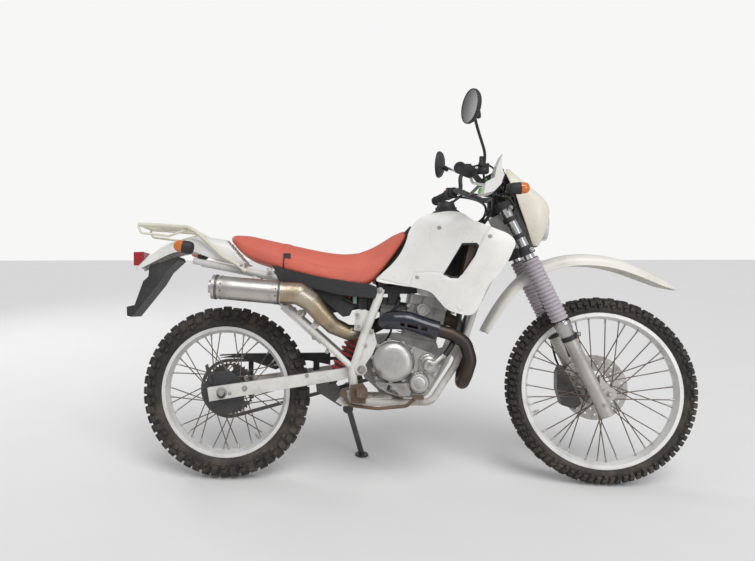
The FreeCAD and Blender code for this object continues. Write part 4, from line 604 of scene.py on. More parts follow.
tyres = {
    "front_tyre": {"body": "front_wheel", "centre": frontAxle, "radius": 337, "width": 90, "rim": 273,
                   "beadHalf": 18, "rows": 84, "lug": 11},
    "rear_tyre": {"body": "rear_wheel", "centre": rearAxle, "radius": 318, "width": 120, "rim": 233,
                  "beadHalf": 25, "rows": 52, "lug": 11},
}
tread = {                        # rows of lugs: spans across the crown in degrees, lengths in shares of the pitch
    "shoulder": ((42, 60), (38, 66)), "shoulderLength": 0.60, "shoulderLean": 2.0,
    "edge": (66, 78), "edgeLength": 0.42,
    "middle": ((-15, -3), (3, 15)), "middleLength": 0.72,
    "between": ((-33, -19), (19, 33)), "betweenLength": 0.70,
    "jitter": 0.02, "seed": 7, "bead": 74,
}


def crownPoint(size, depth, turn):
    crown = size["radius"] - size["rim"] - 16
    t = math.radians(turn)
    return (size["radius"] - crown + (crown - depth) * math.cos(t),
            (size["width"] / 2 - depth) * math.sin(t))


def wheelPoint(size, radial, y, turn):
    return size["centre"] + Vector((math.cos(turn) * radial, y, math.sin(turn) * radial))


def addLug(form, size, angles, turn, length, depth, lean=0.0):
    # one tread block with sloping sides, from the carcass out to the tyre's full size
    rings = []
    for level, grow in ((depth, 1.16), (1.6, 1.02), (0.0, 0.90)):
        ring = []
        low, high = angles
        mid, half = (low + high) / 2, (high - low) / 2 * grow
        for a, s in ((-1, -1), (0, -1), (1, -1), (1, 1), (0, 1), (-1, 1)):
            radial, y = crownPoint(size, level, mid + a * half)
            shift = s * length / 2 * grow / size["radius"] + lean * a / size["radius"]
            ring.append(wheelPoint(size, radial, y, turn + shift))
        rings.append(ring)
    addRings(form, rings)


def makeTyre(nodeName, size):
    form = bmesh.new()
    base = size["lug"]
    outer = [crownPoint(size, base, t) for t in range(-84, 85, 12)]
    edge = size["rim"] + 6
    inner = [crownPoint(size, base + 9, t) for t in range(78, -79, -26)]
    profile = ([(edge - 10, -size["beadHalf"]), (edge, -size["beadHalf"] - 3)] + outer
               + [(edge, size["beadHalf"] + 3), (edge - 10, size["beadHalf"])] + inner)
    addLathe(form, size["centre"], (0, 1, 0), [(y, r) for r, y in profile], 144, closed=True)
    rng = random.Random(tread["seed"])
    step = 2 * math.pi / size["rows"]
    pitch = size["radius"] * step
    for i in range(size["rows"]):
        turn = -math.pi / 2 + i * step + rng.uniform(-tread["jitter"], tread["jitter"]) * step
        odd = i % 2
        for side in (-1, 1):
            span = sorted(side * t for t in tread["shoulder"][odd])
            addLug(form, size, span, turn, pitch * tread["shoulderLength"], base + 2,
                   lean=side * tread["shoulderLean"])
            if not odd:
                span = sorted(side * t for t in tread["edge"])
                addLug(form, size, span, turn, pitch * tread["edgeLength"], base + 1)
        row = "between" if odd else "middle"
        for span in tread[row]:
            addLug(form, size, span, turn, pitch * tread[row + "Length"], base + 2)
    for side in (-1, 1):                                     # rim bead line on each wall
        radial, y = crownPoint(size, base - 1.0, side * tread["bead"])
        ring = [(y - side * 1.6, radial - 2), (y + side * 1.0, radial), (y - side * 1.6, radial + 2)]
        addLathe(form, size["centre"], (0, 1, 0), ring, 144, closed=True)
    return meshPiece(nodeName + "Tread", form, size["body"], "tyre", "tyreRubber", (nodeName,), angle=28)


for nodeName, size in tyres.items():
    makeTyre(nodeName, size)
print("tyres made")


# Seat

seatForm = {
    "stations": [                # x, underside, top, half width below, half width above
        (16, 886, 900, 70, 64), (44, 852, 902, 95, 80), (84, 810, 893, 108, 92), (150, 790, 878, 120, 100),
        (250, 759, 855, 128, 104), (380, 730, 826, 128, 102), (466, 713, 818, 120, 94), (528, 705, 833, 108, 84),
        (572, 748, 855, 104, 76), (622, 812, 887, 100, 68), (658, 862, 912, 94, 62), (676, 892, 922, 84, 56)],
    "voxel": 0.0055,
    "pressure": 4.0, "tension": 20, "bending": 6, "quality": 5,
    "frames": 20,
    "pinned": 14,                # the skin is held up to this height over the underside
    "mostMove": 7.0,             # millimetres that a point may move
}


def seatSection(x, low, top, below, above):
    half = [(0.0, low), (below * 0.55, low), (below * 0.92, low + 3), (below, low + (top - low) * 0.16),
            (below, low + (top - low) * 0.50), (below * 0.985, low + (top - low) * 0.64),
            (above + 4, top - (top - low) * 0.14), (above - 5, top - 1.5), (above * 0.55, top + 3.5), (0.0, top + 5)]
    right = [(x, -y, z) for y, z in half]
    return [Vector((x, y, z)) for y, z in half] + [Vector(p) for p in right[-2:0:-1]]


def padSeat(seat):
    # an even skin, blown up a little as cloth over its held lower edge
    grid = seat.modifiers.new("voxels", "REMESH")
    grid.mode, grid.voxel_size = "VOXEL", seatForm["voxel"]
    bakeModifiers(seat)
    before = [v.co.copy() for v in seat.data.vertices]
    toUpright = uprightToRow.inverted() @ seat.matrix_world
    pins = seat.vertex_groups.new(name="base")
    rows = seatForm["stations"]
    for vertex in seat.data.vertices:
        p = toUpright @ vertex.co
        low = rows[0][1]
        for (x0, low0, *_), (x1, low1, *_) in zip(rows, rows[1:]):
            if x0 <= p.x <= x1:
                low = low0 + (low1 - low0) * (p.x - x0) / (x1 - x0)
        if p.z < low + seatForm["pinned"]:
            pins.add([vertex.index], 1.0, "REPLACE")
    cloth = seat.modifiers.new("padding", "CLOTH").settings
    cloth.use_pressure = True
    cloth.uniform_pressure_force = seatForm["pressure"]
    cloth.effector_weights.gravity = 0
    cloth.quality = seatForm["quality"]
    cloth.vertex_group_mass = "base"
    cloth.tension_stiffness = seatForm["tension"]
    cloth.bending_stiffness = seatForm["bending"]
    for count in range(1, seatForm["frames"] + 1):
        bpy.context.scene.frame_set(count)
    bakeModifiers(seat)
    bpy.context.scene.frame_set(1)
    most = seatForm["mostMove"] * mm
    for vertex, old in zip(seat.data.vertices, before):
        move = vertex.co - old
        if move.length > most:
            vertex.co = old + move * (most / move.length)
    subdivide(seat, 1)
    seat.data.shade_smooth()


def makeSeat():
    form = bmesh.new()
    addRings(form, [seatSection(*row) for row in seatForm["stations"]])
    seat = meshPiece("seatCushion", form, "chassis", "red_vinyl", "seatVinyl", ("seat",), angle=80)
    subdivide(seat, 2)
    padSeat(seat)
    return seat


finishes["seatVinyl"] = wornFinish("salmonSeatVinyl", (0.66, 0.135, 0.085), 0.46, dirt=(0.40, 0.12, 0.085),
                                   dirtShare=0.45, dirtScale=8, grain=0.0005, grainScale=1100)
finishes["strapBlack"] = wornFinish("strapWebbing", (0.045, 0.035, 0.035), 0.7, dirtShare=0.3, grain=0.0008,
                                    grainScale=900)
seat = makeSeat()
print("seat made")


# Body panels

coverForm = {
    "levels": (1010, 965, 900, 800, 700, 590),
    "stations": [(530, 84, 100, 112, 118, 122, 122), (680, 92, 120, 134, 141, 144, 144),
                 (820, 98, 138, 156, 166, 170, 168), (940, 98, 142, 168, 184, 184, 174),
                 (1060, 98, 142, 172, 190, 190, 180)],
    "outline": [(736, 966), (776, 976), (856, 979), (876, 970), (898, 950), (930, 935), (982, 912),
                (1030, 886), (1043, 862), (1034, 836), (998, 772), (947, 712), (922, 658), (895, 614),
                (874, 607), (843, 613), (804, 628), (776, 658), (751, 686), (707, 701), (628, 716),
                (573, 724), (560, 731), (574, 750), (614, 787), (649, 832), (670, 878), (678, 906), (700, 940)],
    "vent": [(861, 862), (913, 862), (919, 851), (904, 816), (859, 751), (844, 736), (819, 737), (793, 750)],
    "wall": 3.4, "cell": 4.5,
    "seamWidth": 4.5, "seamDepth": 3.2,
    "bulge": (862, 676, 60, 5.0),    # x, z, reach, height
    "seam": [(574, 733), (620, 722), (674, 711), (681, 735), (692, 756), (740, 759), (788, 757), (800, 741),
             (826, 735), (852, 737), (872, 766), (892, 804), (918, 856), (936, 888), (958, 920)],
    "screws": [(785, 918), (705, 742), (900, 690), (958, 884)],
    "lug": (852, 640),
}


def ramp(x, table):
    for (x0, y0), (x1, y1) in zip(table, table[1:]):
        if x <= x1:
            t = (x - x0) / (x1 - x0)
            return y0 + (y1 - y0) * max(0.0, t)
    return table[-1][1]


def easedRamp(x, table):
    # smooth line through a table's points
    xs = [p[0] for p in table]
    x = min(max(x, xs[0]), xs[-1])
    for i in range(len(table) - 1):
        if x <= xs[i + 1]:
            break
    p = [table[max(i - 1, 0)], table[i], table[i + 1], table[min(i + 2, len(table) - 1)]]
    span = p[2][0] - p[1][0]
    t = (x - p[1][0]) / span
    first = (p[2][1] - p[0][1]) / (p[2][0] - p[0][0]) * span
    second = (p[3][1] - p[1][1]) / (p[3][0] - p[1][0]) * span
    return ((2 * t**3 - 3 * t**2 + 1) * p[1][1] + (t**3 - 2 * t**2 + t) * first
            + (3 * t**2 - 2 * t**3) * p[2][1] + (t**3 - t**2) * second)


def coverHalf(x, z):
    # half width of the side cover's outer face
    levels = coverForm["levels"]
    across = []
    for i, level in enumerate(levels):
        across.append((level, easedRamp(x, [(row[0], row[1 + i]) for row in coverForm["stations"]])))
    return easedRamp(z, across[::-1])


def flatPanel(outline, holes, cell):
    # flat mesh in X and Z inside a smooth outline, cut into cells
    data = bpy.data.curves.new("panelLine", "CURVE")
    data.dimensions, data.fill_mode = "2D", "BOTH"
    data.resolution_u = 5
    for loop, smooth in [(outline, True)] + [(h, False) for h in holes]:
        spline = data.splines.new("BEZIER")
        spline.bezier_points.add(len(loop) - 1)
        for dot, (x, z) in zip(spline.bezier_points, loop):
            dot.co = (x, z, 0)
            dot.handle_left_type = dot.handle_right_type = "AUTO" if smooth else "VECTOR"
        spline.use_cyclic_u = True
    mesh = curveMesh(data)
    form = bmesh.new()
    form.from_mesh(mesh)
    xs = [v.co.x for v in form.verts]
    zs = [v.co.y for v in form.verts]
    for low, high, normal in ((min(xs), max(xs), (1, 0, 0)), (min(zs), max(zs), (0, 1, 0))):
        step = low + cell
        while step < high:
            point = Vector(normal) * step
            geometry = form.verts[:] + form.edges[:] + form.faces[:]
            bmesh.ops.bisect_plane(form, geom=geometry, plane_co=point, plane_no=normal, dist=0.01)
            step += cell
    bmesh.ops.remove_doubles(form, verts=form.verts, dist=0.02)
    for vertex in form.verts:
        vertex.co = Vector((vertex.co.x, 0, vertex.co.y))
    return form


def seamDent(x, z):
    # how deep the curved seam between tank and cover lies at a point
    best = 1e9
    for (x0, z0), (x1, z1) in zip(coverForm["seam"], coverForm["seam"][1:]):
        run = Vector((x1 - x0, z1 - z0))
        t = max(0.0, min(1.0, (Vector((x - x0, z - z0)).dot(run)) / run.length_squared))
        best = min(best, (Vector((x, z)) - Vector((x0, z0)) - run * t).length)
    return best


def makeSideCover(side):
    name, replaced = (("sideCoverLeft", "side_cover_left") if side > 0
                      else ("sideCoverRight", "side_cover_right"))
    outward = (0, side, 0)
    form = flatPanel(coverForm["outline"], [coverForm["vent"]], coverForm["cell"])
    bulgeX, bulgeZ, reach, height = coverForm["bulge"]
    for vertex in form.verts:
        x, z = vertex.co.x, vertex.co.z
        groove = max(0.0, 1 - seamDent(x, z) / coverForm["seamWidth"])
        bulge = height * math.exp(-((x - bulgeX) ** 2 + (z - bulgeZ) ** 2) / reach ** 2)
        vertex.co.y = side * (coverHalf(x, z) + bulge - coverForm["seamDepth"] * groove)
    panel = meshPiece(name, form, "chassis", "white_plastic", "whiteMoulding", (replaced,), angle=50)
    thicken(panel, coverForm["wall"])
    roundEdges(panel, 1.1, 2, 50)
    trim = bmesh.new()
    for x, z in coverForm["screws"]:
        addScrew(trim, (x, side * (coverHalf(x, z) + 0.2), z), outward, 7.5)
    boltPiece(name + "Screws", trim, angle=40)
    lip = bmesh.new()                       # dark sponge frame in the vent
    loop = [Vector((x, side * (coverHalf(x, z) - 1.5), z)) for x, z in coverForm["vent"]]
    middle = sum(loop, Vector()) / len(loop)
    rings = []
    for grow, inward in ((1.0, 0.0), (0.90, 3.0), (0.88, 16.0), (0.98, 16.0)):
        rings.append([middle + (p - middle) * grow - Vector((0, side * inward, 0)) for p in loop])
    addRings(lip, rings, caps=False)
    meshPiece(name + "VentLip", lip, "chassis", "black_plastic", "blackMoulding", angle=30)
    lug = bmesh.new()
    x, z = coverForm["lug"]
    addLathe(lug, (x, side * (coverHalf(x, z) - 1), z), outward,
             [(0, 16), (3.5, 15), (4.5, 12), (4.5, 7), (1.0, 6)], 28)
    meshPiece(name + "Lug", lug, "chassis", "white_plastic", "whiteMoulding", angle=40)


for side in (-1, 1):
    makeSideCover(side)
print("side covers made")


def shellPiece(name, rings, body, slot, finish, replaced):
    form = bmesh.new()
    addRings(form, rings, closed=False, caps=False)
    return meshPiece(name, form, body, slot, finish, (replaced,), angle=80)


def cutShell(panel, body, wall, inHole):
    # smooths the shell, takes out the faces in the hole, and gives it a wall
    subdivide(panel, 3)
    bakeModifiers(panel)
    back = placeOf(body).inverted()
    shell = bmesh.new()
    shell.from_mesh(panel.data)
    doomed = [face for face in shell.faces if inHole(back @ face.calc_center_median())]
    bmesh.ops.delete(shell, geom=doomed, context="FACES")
    shell.to_mesh(panel.data)
    shell.free()
    softShading(panel.data, 80)
    thicken(panel, wall)


tailForm = {
    "stations": [                # x, lower edge, upper edge, half width, crown
        (92, 794, 812, 97, 8), (60, 790, 862, 100, 14), (6, 800, 872, 100, 16), (-70, 816, 884, 96, 16),
        (-126, 846, 892, 90, 14), (-200, 838, 874, 80, 12), (-282, 796, 846, 70, 10), (-346, 769, 781, 56, 4)],
    "wall": 3.5,
    "opening": [(4, 884), (14, 872), (72, 802), (130, 772)],     # x, z: open above, under the seat's rear end
}


def tailRing(row):
    x, low, high, half, crown = row
    tall = high - low > 30
    side = [(half, low + 2), (half + 0.6, low + (14 if tall else 4)), (half * 0.985, high - (16 if tall else 4)),
            (half * 0.90, high), (half * 0.62, high + crown * 0.8), (half * 0.22, high + crown)]
    return mirroredRing([(x, y, z) for y, z in side])


def makeTailCowl():
    rings = [tailRing(row) for row in tailForm["stations"]]
    panel = shellPiece("tailCowlShell", rings, "chassis", "white_plastic", "whiteMoulding", "tail_cowl")
    opening = tailForm["opening"]
    cutShell(panel, "chassis", tailForm["wall"], lambda p: p.x > opening[0][0] and p.z > ramp(p.x, opening))


makeTailCowl()

fenderForm = {
    "stations": [                # x, z on the ridge, half width, drop of the edge
        (1655, 700, 14, 3), (1640, 714, 32, 12), (1612, 733, 45, 26), (1554, 768, 56, 34), (1477, 806, 62, 40),
        (1398, 828, 64, 42), (1313, 834, 66, 42), (1244, 826, 60, 42), (1178, 806, 56, 40), (1100, 760, 55, 32),
        (1015, 660, 58, 28), (951, 545, 56, 24)],
    "wall": 3.5,
}


def makeFrontFender():
    rows = fenderForm["stations"]
    rings = []
    for i, (x, z, half, drop) in enumerate(rows):
        before, after = rows[max(i - 1, 0)], rows[min(i + 1, len(rows) - 1)]
        along = Vector((before[0] - after[0], 0, before[1] - after[1])).normalized()
        up = Vector((-along.z, 0, along.x))
        if up.z < 0:
            up = -up
        side = [(half + 1.5, -drop), (half, -drop + 4), (half * 0.96, -drop * 0.45), (half * 0.80, -drop * 0.16),
                (half * 0.50, 0.5), (half * 0.24, 0.0), (half * 0.10, 2.4)]
        rings.append(mirroredRing([Vector((x, 0, z)) + up * h + Vector((0, y, 0)) for y, h in side]))
    panel = shellPiece("frontFenderShell", rings, "steering", "white_plastic", "fenderMoulding", "front_fender")
    thicken(panel, fenderForm["wall"])
    subdivide(panel, 2)


makeFrontFender()

cowlForm = {
    "stations": [                # height, front x, side x, rear x, half width at the side, at the front
        (860, 1162, 1150, 1136, 73, 58), (880, 1176, 1156, 1128, 82, 62), (925, 1197, 1160, 1112, 98, 68),
        (965, 1206, 1162, 1098, 105, 70), (1005, 1206, 1160, 1084, 108, 72), (1035, 1188, 1146, 1076, 107, 70),
        (1062, 1160, 1120, 1070, 103, 66), (1110, 1106, 1084, 1050, 88, 56), (1148, 1070, 1060, 1044, 60, 40)],
    "wall": 3.5,
    "lampRadius": 74, "faceFrom": 1120,
}


def cowlRing(row):
    z, front, sideX, rear, half, nose = row
    side = [(rear, half * 0.985), ((rear + sideX) / 2, half + 1), (sideX, half),
            ((sideX * 1.2 + front) / 2.2, (half + nose) / 2 + 5),
            (front - 5, nose), (front, nose * 0.55), (front + 1.5, nose * 0.18)]
    return mirroredRing([(x, y, z) for x, y in side])


def makeHeadlightCowl():
    rings = [cowlRing(row) for row in cowlForm["stations"]]
    panel = shellPiece("headlightCowlShell", rings, "steering", "cream_plastic", "creamMoulding", "headlight_cowl")
    low, high = (Vector(c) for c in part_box("headlight"))
    lampHeight = (placeOf("steering").inverted() @ ((low + high) / 2)).z
    cutShell(panel, "steering", cowlForm["wall"],
             lambda p: p.x > cowlForm["faceFrom"] and math.hypot(p.y, p.z - lampHeight) < cowlForm["lampRadius"])


makeHeadlightCowl()
print("panels made")


# Engine

engine = {
    "caseFace": -118, "leftFace": 96,      # outer faces of the two cases
    "clutch": (617, 443, 70),              # x, z, radius, and below the turns of its screws
    "clutchScrews": (100, 62, 28, 332, 298, 262, 205, 170, 135),
    "filter": (706, 368, 33),
    "filterScrews": (75, 195, 315),
    "pump": (742, 436, 26),
    "pumpScrews": (60, 150, 250, 340),
    "generator": (690, 420, 58),
    "caseOutline": [(560, 500), (540, 452), (548, 380), (600, 330), (690, 318), (745, 352), (770, 392),
                    (788, 428), (756, 470), (690, 496), (620, 516)],
    "leftOutline": [(632, 500), (624, 404), (608, 358), (612, 336), (640, 326), (690, 318), (770, 392),
                    (780, 428), (690, 496)],
    "sump": [(548, 366), (570, 346), (600, 330), (640, 319), (672, 321), (680, 335), (676, 352), (660, 360),
             (618, 358), (580, 366), (562, 372)],
    "tilt": 12.0, "crank": (668, 404),
}
toRight = (0, -1, 0)


def engineSpot(name):
    x, z, r = engine[name]
    return (x, engine["caseFace"], z), r


def engineCovers():
    form = bmesh.new()
    spot, r = engineSpot("clutch")
    addLathe(form, spot, toRight, [(0.5, r + 5), (5, r + 5), (7, r + 1.0), (26, r + 1.0), (31, r - 1.5), (36, r - 6),
                                   (42, r - 14), (44.6, r - 23), (45.4, r - 34), (45.8, 4)], 72)
    for turn in engine["clutchScrews"]:
        addLathe(form, aroundPoint(spot, r + 4, turn), toRight, [(0, 8.5), (12, 8.5), (14, 7)], 18)
    spot, r = engineSpot("filter")
    addLathe(form, spot, toRight, [(0.5, r + 4), (8, r + 4), (10, r + 1), (24, r), (27, r - 3), (28, r - 8),
                                   (27, r - 12), (28.4, r - 16), (28.4, 2)], 48)
    for turn in engine["filterScrews"]:
        addLathe(form, aroundPoint(spot, r + 3, turn), toRight, [(0, 7), (14, 7), (15, 6)], 16)
    spot, r = engineSpot("pump")
    addLathe(form, spot, toRight, [(0.5, r + 7), (7, r + 7), (9, r + 2), (18, r + 1), (22, r - 5), (23, 3)], 40)
    route = [Vector(spot) + Vector(step) for step in (
        (-12, -21, -14), (-14, -26, 6), (4, -27, 8), (10, -26, -2), (26, -25, 10), (40, -22, 22), (56, -20, 32))]
    addTube(form, smoothRoute(route), 9.5, 14)
    addLathe(form, route[-1] - Vector((10, 1, 6)), (16, 2, 10), [(0, 13), (9, 13), (11, 11)], 20)
    cx, cz = middleOf(engine["sump"])
    addRings(form, [[Vector((cx + (x - cx) * grow, engine["caseFace"] - depth, cz + (z - cz) * grow))
                     for x, z in engine["sump"]] for depth, grow in ((0, 1.02), (10, 1.0), (14, 0.93))])
    meshPiece("engineCovers", form, "chassis", "engine_alloy", "coverAlloy", angle=32)


def engineJoints():
    # dark gasket lines round the covers
    form = bmesh.new()
    spot, r = engineSpot("clutch")
    addLathe(form, spot, toRight, [(6.0, r + 4), (6.0, r + 6.2), (4.2, r + 6.2), (4.2, r + 4)], 72, closed=True)
    spot, r = engineSpot("filter")
    addLathe(form, spot, toRight, [(8.6, r + 2), (8.6, r + 5), (6, r + 5), (6, r + 2)], 48, closed=True)
    meshPiece("engineJoints", form, "chassis", "dark_steel", "blackMoulding", angle=30)


def inset(outline, amount):
    cx, cz = middleOf(outline)
    moved = []
    for x, z in outline:
        run = Vector((cx - x, cz - z)).normalized() * amount
        moved.append((x + run.x, z + run.y))
    return moved


def cylinderPoint(u, w, y):
    # u across and w up the tilted cylinder, from the crankshaft
    t = math.radians(engine["tilt"])
    cx, cz = engine["crank"]
    return Vector((cx + u * math.cos(t) + w * math.sin(t), y, cz - u * math.sin(t) + w * math.cos(t)))


def engineBolts():
    form = bmesh.new()
    y = engine["caseFace"]
    for x, z in inset(engine["caseOutline"], 9):
        addLathe(form, (x, y, z), toRight, [(0, 8), (3, 8), (4, 7)], 16)
        addBolt(form, (x, y - 3.5, z), toRight, 8)
    for name, grow, lift, size, washer in (("clutch", 4, 14, 7.5, False), ("filter", 3, 15, 7, False),
                                           ("pump", 2, 9, 7, True)):
        spot, r = engineSpot(name)
        for turn in engine[name + "Screws"]:
            addBolt(form, aroundPoint(spot, r + grow, turn) - Vector((0, lift, 0)), toRight, size, washer)
    face = engine["leftFace"]
    for x, z in inset(engine["leftOutline"], 9):
        addBolt(form, (x, face, z), (0, 1, 0), 8)
    x, z, r = engine["generator"]
    for i in range(5):
        a = 2 * math.pi * i / 5 + 0.4
        addBolt(form, (x + math.cos(a) * r, face + 26, z + math.sin(a) * r), (0, 1, 0), 7)
    for side in (-1, 1):                              # head and head cover fastenings
        for u in (-38, 0, 38, 62):
            addBolt(form, cylinderPoint(u, 233, side * 82), (0, side, 0), 8)
        for u in (-44, 20, 66):
            addBolt(form, cylinderPoint(u, 172, side * 76), (0, side, 0), 8)
    boltPiece("engineBolts", form)


def headDetails():
    form = bmesh.new()
    turn = Matrix.Rotation(math.radians(engine["tilt"]), 3, "Y")
    for side in (-1, 1):
        addLathe(form, cylinderPoint(14, 230, side * 92), (0, side, 0),
                 [(0, 24), (4, 24), (6, 21), (6, 15), (3, 13), (3, 4)], 36)
        for w, face, half in ((211.5, 82, 65), (156.5, 78, 65.2)):     # split lines stand as a thin lip
            addBox(form, cylinderPoint(9, w, side * face), (half, 1.6, 2.2), turn)
    for k in range(7):                                # water-cooled barrel: cast ribs low down
        addBox(form, cylinderPoint(12, 100 + k * 8.5, 0), (61.5, 61.5, 1.5), turn)
    meshPiece("headDetails", form, "chassis", "engine_alloy", "engineAlloy", angle=30)


engineCovers()
engineJoints()
engineBolts()
headDetails()
print("engine made")


# Wheels' small parts

wheelParts = {                   # and the ring of bolts: y, radius, size, offset in shares of a step
    "front": {"body": "front_wheel", "centre": frontAxle, "rimInner": 256.4, "flange": 31, "hubHalf": 39,
              "valveTurn": 200, "bolts": (61, 44, 8, 0)},
    "rear": {"body": "rear_wheel", "centre": rearAxle, "rimInner": 217.4, "flange": 55, "hubHalf": 52,
             "valveTurn": 305, "bolts": (84, 56, 9, 0.5)},
}
lacing = {"spokes": 36, "cross": 58, "layer": 7, "flangeIn": 11, "rimOut": 6}


def makeNipples(kind):
    # one nipple where each spoke meets the rim, and the tyre's valve
    size = wheelParts[kind]
    form = bmesh.new()
    centre = size["centre"]
    for i in range(lacing["spokes"]):
        side = 1 if i % 2 else -1
        lead = 1 if (i // 2) % 2 else -1
        foot = 2 * math.pi * (i // 2 + 0.25 * side) / (lacing["spokes"] / 2)
        head = foot + lead * math.radians(lacing["cross"])
        y = side * (size["hubHalf"] - lacing["flangeIn"] + lead * lacing["layer"])
        start = wheelPoint(size, size["flange"], y, foot)
        end = wheelPoint(size, size["rimInner"], side * lacing["rimOut"], head)
        along = (end - start).normalized()
        addLathe(form, end - along * 15, along, [(0, 2.4), (1.5, 3.2), (13, 3.4), (16, 4.6)], 8)
        addLathe(form, start - along * 1.5, along, [(0, 3.6), (4, 3.2), (6, 1.6)], 8)
    turn = math.radians(size["valveTurn"])
    out = Vector((math.cos(turn), 0, math.sin(turn)))
    addLathe(form, centre + out * (size["rimInner"] - 26), out,
             [(0, 3.4), (10, 3.4), (10.5, 4.5), (18, 4.5), (19, 3), (28, 3)], 14)
    meshPiece(kind + "Nipples", form, size["body"], "spoke_steel", "silverBolt", angle=35)


for kind in wheelParts:
    makeNipples(kind)


def makeDiscParts():
    # bolts of the brake disc and of the rear sprocket
    for size in wheelParts.values():
        form = bmesh.new()
        y, ring, boltSize, offset = size["bolts"]
        for i in range(6):
            addBolt(form, wheelPoint(size, ring, y, 2 * math.pi * (i + offset) / 6), (0, 1, 0), boltSize)
        boltPiece(size["body"] + "Bolts", form, size["body"])


makeDiscParts()
print("wheel parts made")


# Frame, exhaust and the dark parts behind the frame

frameBolts = [                   # x, y of the right side, z, size
    (571, -147, 694, 11), (540, -135.5, 548, 10), (516, -135.5, 498, 10), (504, -149, 414, 17),
    (470, -135.5, 328, 10), (446, -135.5, 302, 10), (500, -135.5, 316, 9), (536, -140, 592, 8),
]
shock = {"low": (398, 0, 346), "high": (530, 0, 584), "turns": 7.5, "from": 52, "length": 154, "radius": 31,
         "wire": 5.6, "stepsPerTurn": 22}
hoses = [                        # points, radius
    ([(640, -34, 668), (650, -66, 676), (640, -84, 640), (606, -78, 606), (590, -56, 590)], 6),
    ([(600, -30, 690), (585, -62, 690), (560, -84, 664), (540, -92, 620), (528, -94, 590), (500, -90, 560)], 4.5),
    ([(536, -60, 690), (528, -84, 664), (505, -100, 640), (470, -100, 652), (440, -98, 668)], 5),
    ([(796, -150, 468), (822, -146, 498), (850, -122, 560), (858, -108, 640), (862, -100, 700)], 10),
    ([(872, -80, 540), (882, -92, 600), (886, -94, 660), (892, -90, 706)], 5),
    ([(820, 60, 560), (850, 90, 600), (862, 100, 660), (868, 96, 712)], 9),
    ([(560, 60, 680), (548, 84, 650), (522, 92, 610), (505, 92, 560), (530, 84, 520)], 5),
    ([(612, -62, 590), (620, -70, 560), (606, -92, 530), (590, -104, 508)], 4),
    ([(430, 98, 676), (400, 102, 655), (372, 102, 640), (350, 98, 668)], 5),
]
muffler = {"front": (219, -165, 684), "rear": (-16, -165, 705), "radius": 42, "rivets": 10}
intake = {
    "start": (510, 0, 648),
    "profile": [(0, 27), (6, 31), (14, 31), (18, 27), (26, 30), (32, 26), (40, 29), (46, 25), (54, 27), (60, 25),
                (70, 25)],
    "clamps": (515, 574),
}

finishes["relayGreen"] = plainFinish("relayGreen", (0.16, 0.26, 0.19), 0.5)
finishes["redWire"] = plainFinish("redWire", (0.45, 0.03, 0.02), 0.45)
finishes["endBand"] = wornFinish("darkEndBand", (0.17, 0.155, 0.14), 0.36, metallic=0.85, dirtShare=0.5)


def makeFrameBolts():
    form = bmesh.new()
    for x, y, z, size in frameBolts:
        for side in (1, -1):
            addBolt(form, (x, y * side, z), (0, -side, 0), size)
    boltPiece("frameBolts", form)


def makeShockSpring():
    foot, top = Vector(shock["low"]), Vector(shock["high"])
    along = (top - foot).normalized()
    side = along.orthogonal().normalized()
    other = along.cross(side)
    steps = int(shock["turns"] * shock["stepsPerTurn"])
    run = []
    for i in range(steps + 1):
        turn = 2 * math.pi * shock["turns"] * i / steps
        run.append(foot + along * (shock["from"] + shock["length"] * i / steps)
                   + (side * math.cos(turn) + other * math.sin(turn)) * shock["radius"])
    form = bmesh.new()
    addTube(form, run, shock["wire"], 10)
    meshPiece("shockSpring", form, "chassis", "dark_steel", "springPaint", angle=60)


def makeHoses():
    form = bmesh.new()
    for points, radius in hoses:
        addTube(form, smoothRoute(points), radius, 12)
    meshPiece("engineHoses", form, "chassis", "black_plastic", "cableBlack", angle=60)


def makeIntakeBoot():
    form = bmesh.new()
    addLathe(form, intake["start"], (1, 0, 0), intake["profile"], 32)
    for x in intake["clamps"]:
        addBand(form, (x, *intake["start"][1:]), (1, 0, 0), 29, 33, 9, 32)
    meshPiece("intakeBoot", form, "chassis", "black_plastic", "blackMoulding", angle=40)


def makeSidePlates():
    # ribbed black case and small electrical parts beside the air box
    form = bmesh.new()
    addBox(form, (512, -100, 650), (16, 8, 24))
    for k in range(4):
        addBox(form, (512, -109, 636 + k * 9), (14, 1.5, 2.2))
    piece = meshPiece("sideBoxes", form, "chassis", "black_plastic", "blackMoulding", angle=30)
    roundEdges(piece, 1.5, 2)
    relay = bmesh.new()
    addBox(relay, (483, -108, 662), (7, 7, 15))
    piece = meshPiece("greenRelay", relay, "chassis", "black_plastic", "relayGreen", angle=30)
    roundEdges(piece, 2.0, 3)
    wire = bmesh.new()
    addTube(wire, smoothRoute([(462, -92, 690), (468, -112, 686), (466, -112, 672), (458, -94, 664)]), 2.2, 8)
    meshPiece("redWire", wire, "chassis", "black_plastic", "redWire", angle=60)


